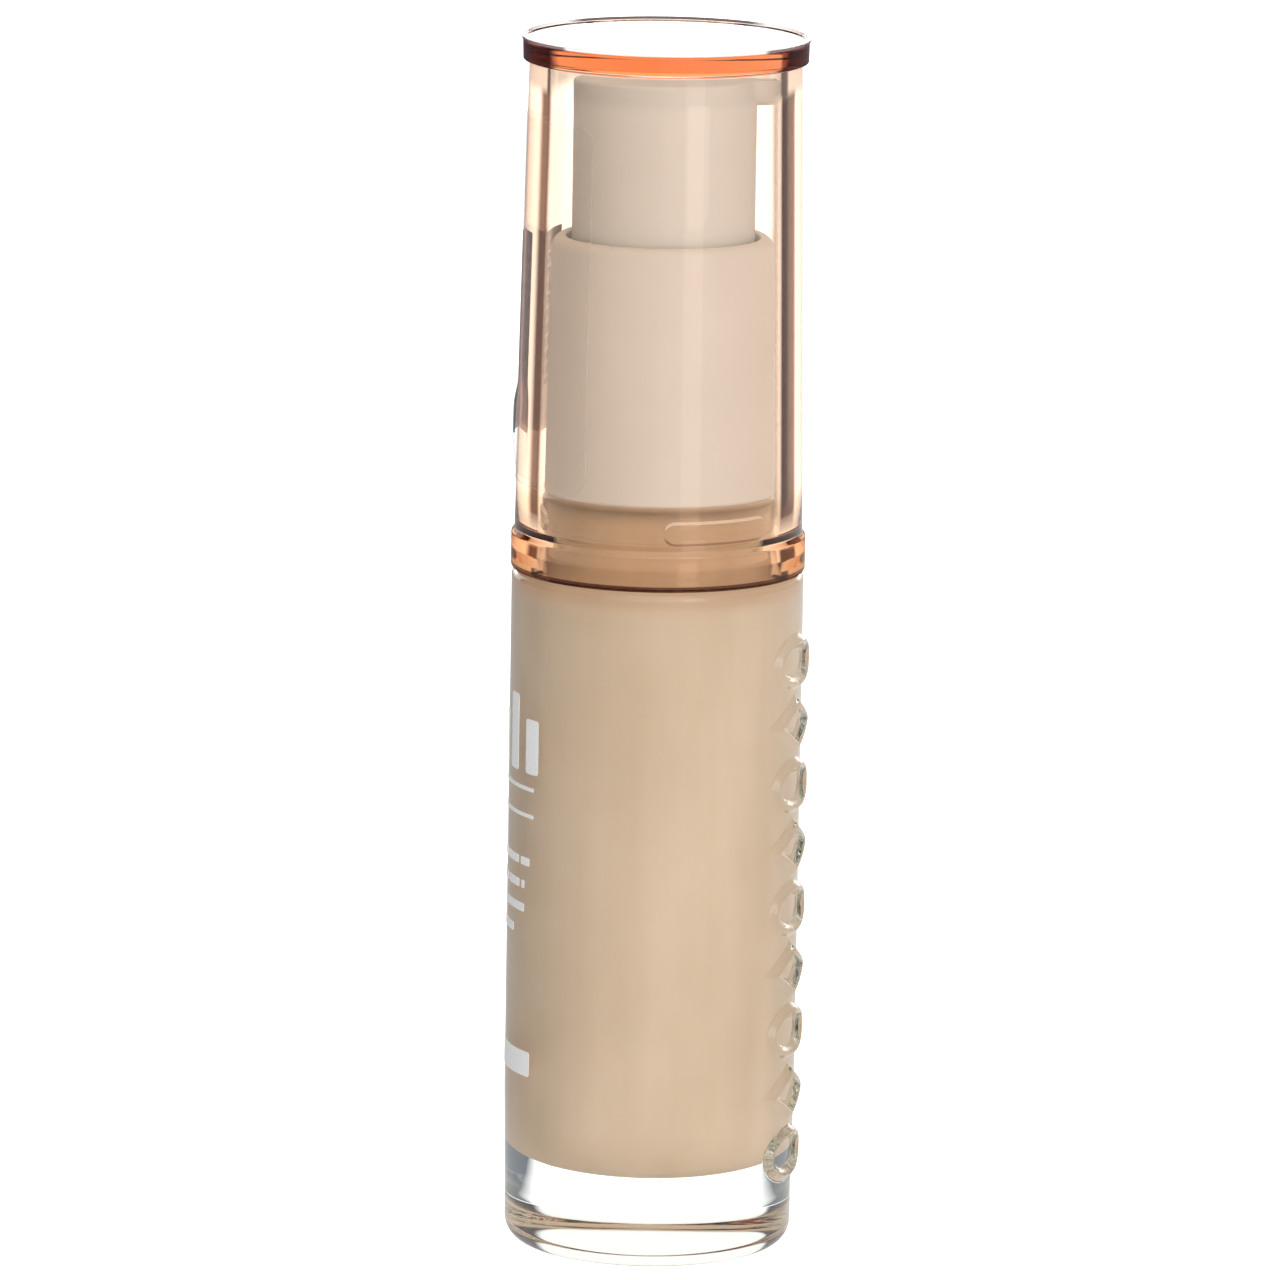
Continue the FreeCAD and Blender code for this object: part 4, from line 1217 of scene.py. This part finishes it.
# Degrees from the camera towards its right, then a tone or colour. LIT_BY is the room that lights and
# is reflected; the others are what is seen through clear walls, low near the floor and high above it.
LIT_BY = [
    (-180.0, 0.72),
    (-141.0, 0.72),
    (-137.0, 0.06),
    (-90.0, 0.06),
    (-50.0, 0.12),
    (-15.0, 0.82),
    (10.0, 1.0),
    (30.0, 0.9),
    (50.0, 0.47),
    (75.0, 0.14),
    (90.0, 0.12),
    (148.0, 0.3),
    (152.0, 0.72),
    (180.0, 0.72),
]
THROUGH_LOW = [
    (-180.0, 0.97, 0.97, 0.97),
    (-150.0, 0.97, 0.97, 0.97),
    (-141.0, 0.08, 0.04, 0.025),
    (-130.0, 0.09, 0.05, 0.035),
    (-125.0, 0.6, 0.6, 0.6),
    (127.0, 0.8, 0.8, 0.78),
    (132.0, 0.03, 0.015, 0.01),
    (156.0, 0.03, 0.015, 0.01),
    (162.0, 0.97, 0.97, 0.97),
    (180.0, 0.97, 0.97, 0.97),
]
THROUGH_HIGH = [
    (-180.0, 0.55, 0.55, 0.53),
    (-136.0, 0.55, 0.55, 0.53),
    (-133.0, 0.03, 0.025, 0.03),
    (139.0, 0.03, 0.025, 0.03),
    (144.0, 0.55, 0.55, 0.53),
    (180.0, 0.55, 0.55, 0.53),
]


def around(tree, turn, stops):
    """A tone or colour for every azimuth, in degrees from the camera towards its right."""
    node = tree.nodes.new("ShaderNodeValToRGB")
    tree.links.new(calc(tree, "ADD", turn, 0.5), node.inputs[0])
    elements = node.color_ramp.elements
    while len(elements) > 1:
        elements.remove(elements[-1])
    for i, (angle, *tone) in enumerate(stops):
        at = angle / 360.0 + 0.5
        element = elements[0] if i == 0 else elements.new(at)
        element.position = at
        element.color = (*(tone * 3)[:3], 1.0)
    return node.outputs[0]


def studio_world():
    """White to look at, a soft room to light and reflections, and white with dark flags through glass."""
    world = bpy.data.worlds.new("studio")
    bpy.context.scene.world = world
    world.use_nodes = True
    tree = world.node_tree
    tree.nodes.clear()
    ray = put(tree, "SeparateXYZ", Vector=put(tree, "TexCoord").outputs["Generated"])
    x, y, z = ray.outputs
    ahead = level_part(tree, x, y, TOWARDS)
    side = level_part(tree, x, y, RIGHT)
    turn = calc(tree, "DIVIDE", calc(tree, "ARCTAN2", side, ahead), 2 * math.pi)
    path = put(tree, "LightPath")
    rise = between(tree, z, 0.5, 0.8)
    room = calc(tree, "MULTIPLY", around(tree, turn, LIT_BY), ROOM_POWER)
    room = chosen(tree, rise, room, calc(tree, "ADD", calc(tree, "MULTIPLY", room, 0.4), 0.45))
    slot = product(
        tree,
        between(tree, z, 0.085, 0.1),
        between(tree, z, 0.32, 0.28),
        between(tree, ahead, -0.85, -0.92),
        path.outputs["Is Glossy Ray"],
    )
    room = calc(tree, "ADD", room, calc(tree, "MULTIPLY", slot, SLOT_POWER))
    level = between(tree, z, -0.09, -0.05)
    through = mixed(tree, level, around(tree, turn, THROUGH_LOW), around(tree, turn, THROUGH_HIGH))
    passed = path.outputs["Is Transmission Ray"]
    power = chosen(tree, passed, room, THROUGH_POWER)
    power = chosen(tree, path.outputs["Is Camera Ray"], power, BACKDROP_POWER)
    colour = mixed(tree, passed, (1.0, 1.0, 1.0, 1.0), through)
    shown = put(tree, "Background", Color=colour, Strength=power)
    put(tree, "OutputWorld", Surface=shown.outputs[0])


floor()
studio_world()
softbox("key", 28.0, 14.0, 0.9, 0.3, 0.85, 1.2)
softbox("top", 0.0, 78.0, 0.9, 0.6, 0.6, 1.0)


# Camera ---------------------------------------------------------------------------------------------

DISTANCE = 1.11
HEIGHT = 0.274
PITCH = math.radians(10.76)
ROLL = math.radians(0.94)
SIDESTEP = 0.0017
LENS = 309.2

forward = -TOWARDS * math.cos(PITCH) - Vector((0.0, 0.0, math.sin(PITCH)))
upright = RIGHT.cross(forward)
across = RIGHT * math.cos(ROLL) + upright * math.sin(ROLL)
upward = upright * math.cos(ROLL) - RIGHT * math.sin(ROLL)
camera_data = bpy.data.cameras.new("camera")
camera_data.lens = LENS
camera_data.sensor_width = 36.0
camera_data.clip_start = 0.05
camera_data.clip_end = 20.0
camera = bpy.data.objects.new("camera", camera_data)
bpy.context.scene.collection.objects.link(camera)
turned_axes = Matrix((across, upward, -forward)).transposed()
spot = TOWARDS * DISTANCE - RIGHT * SIDESTEP + Vector((0.0, 0.0, HEIGHT))
camera.matrix_world = Matrix.Translation(spot) @ turned_axes.to_4x4()
bpy.context.scene.camera = camera
bpy.context.scene.view_settings.view_transform = "Standard"

bounces = bpy.context.scene.cycles
bounces.max_bounces = 28
bounces.glossy_bounces = 20
bounces.transmission_bounces = 28
bounces.transparent_max_bounces = 20
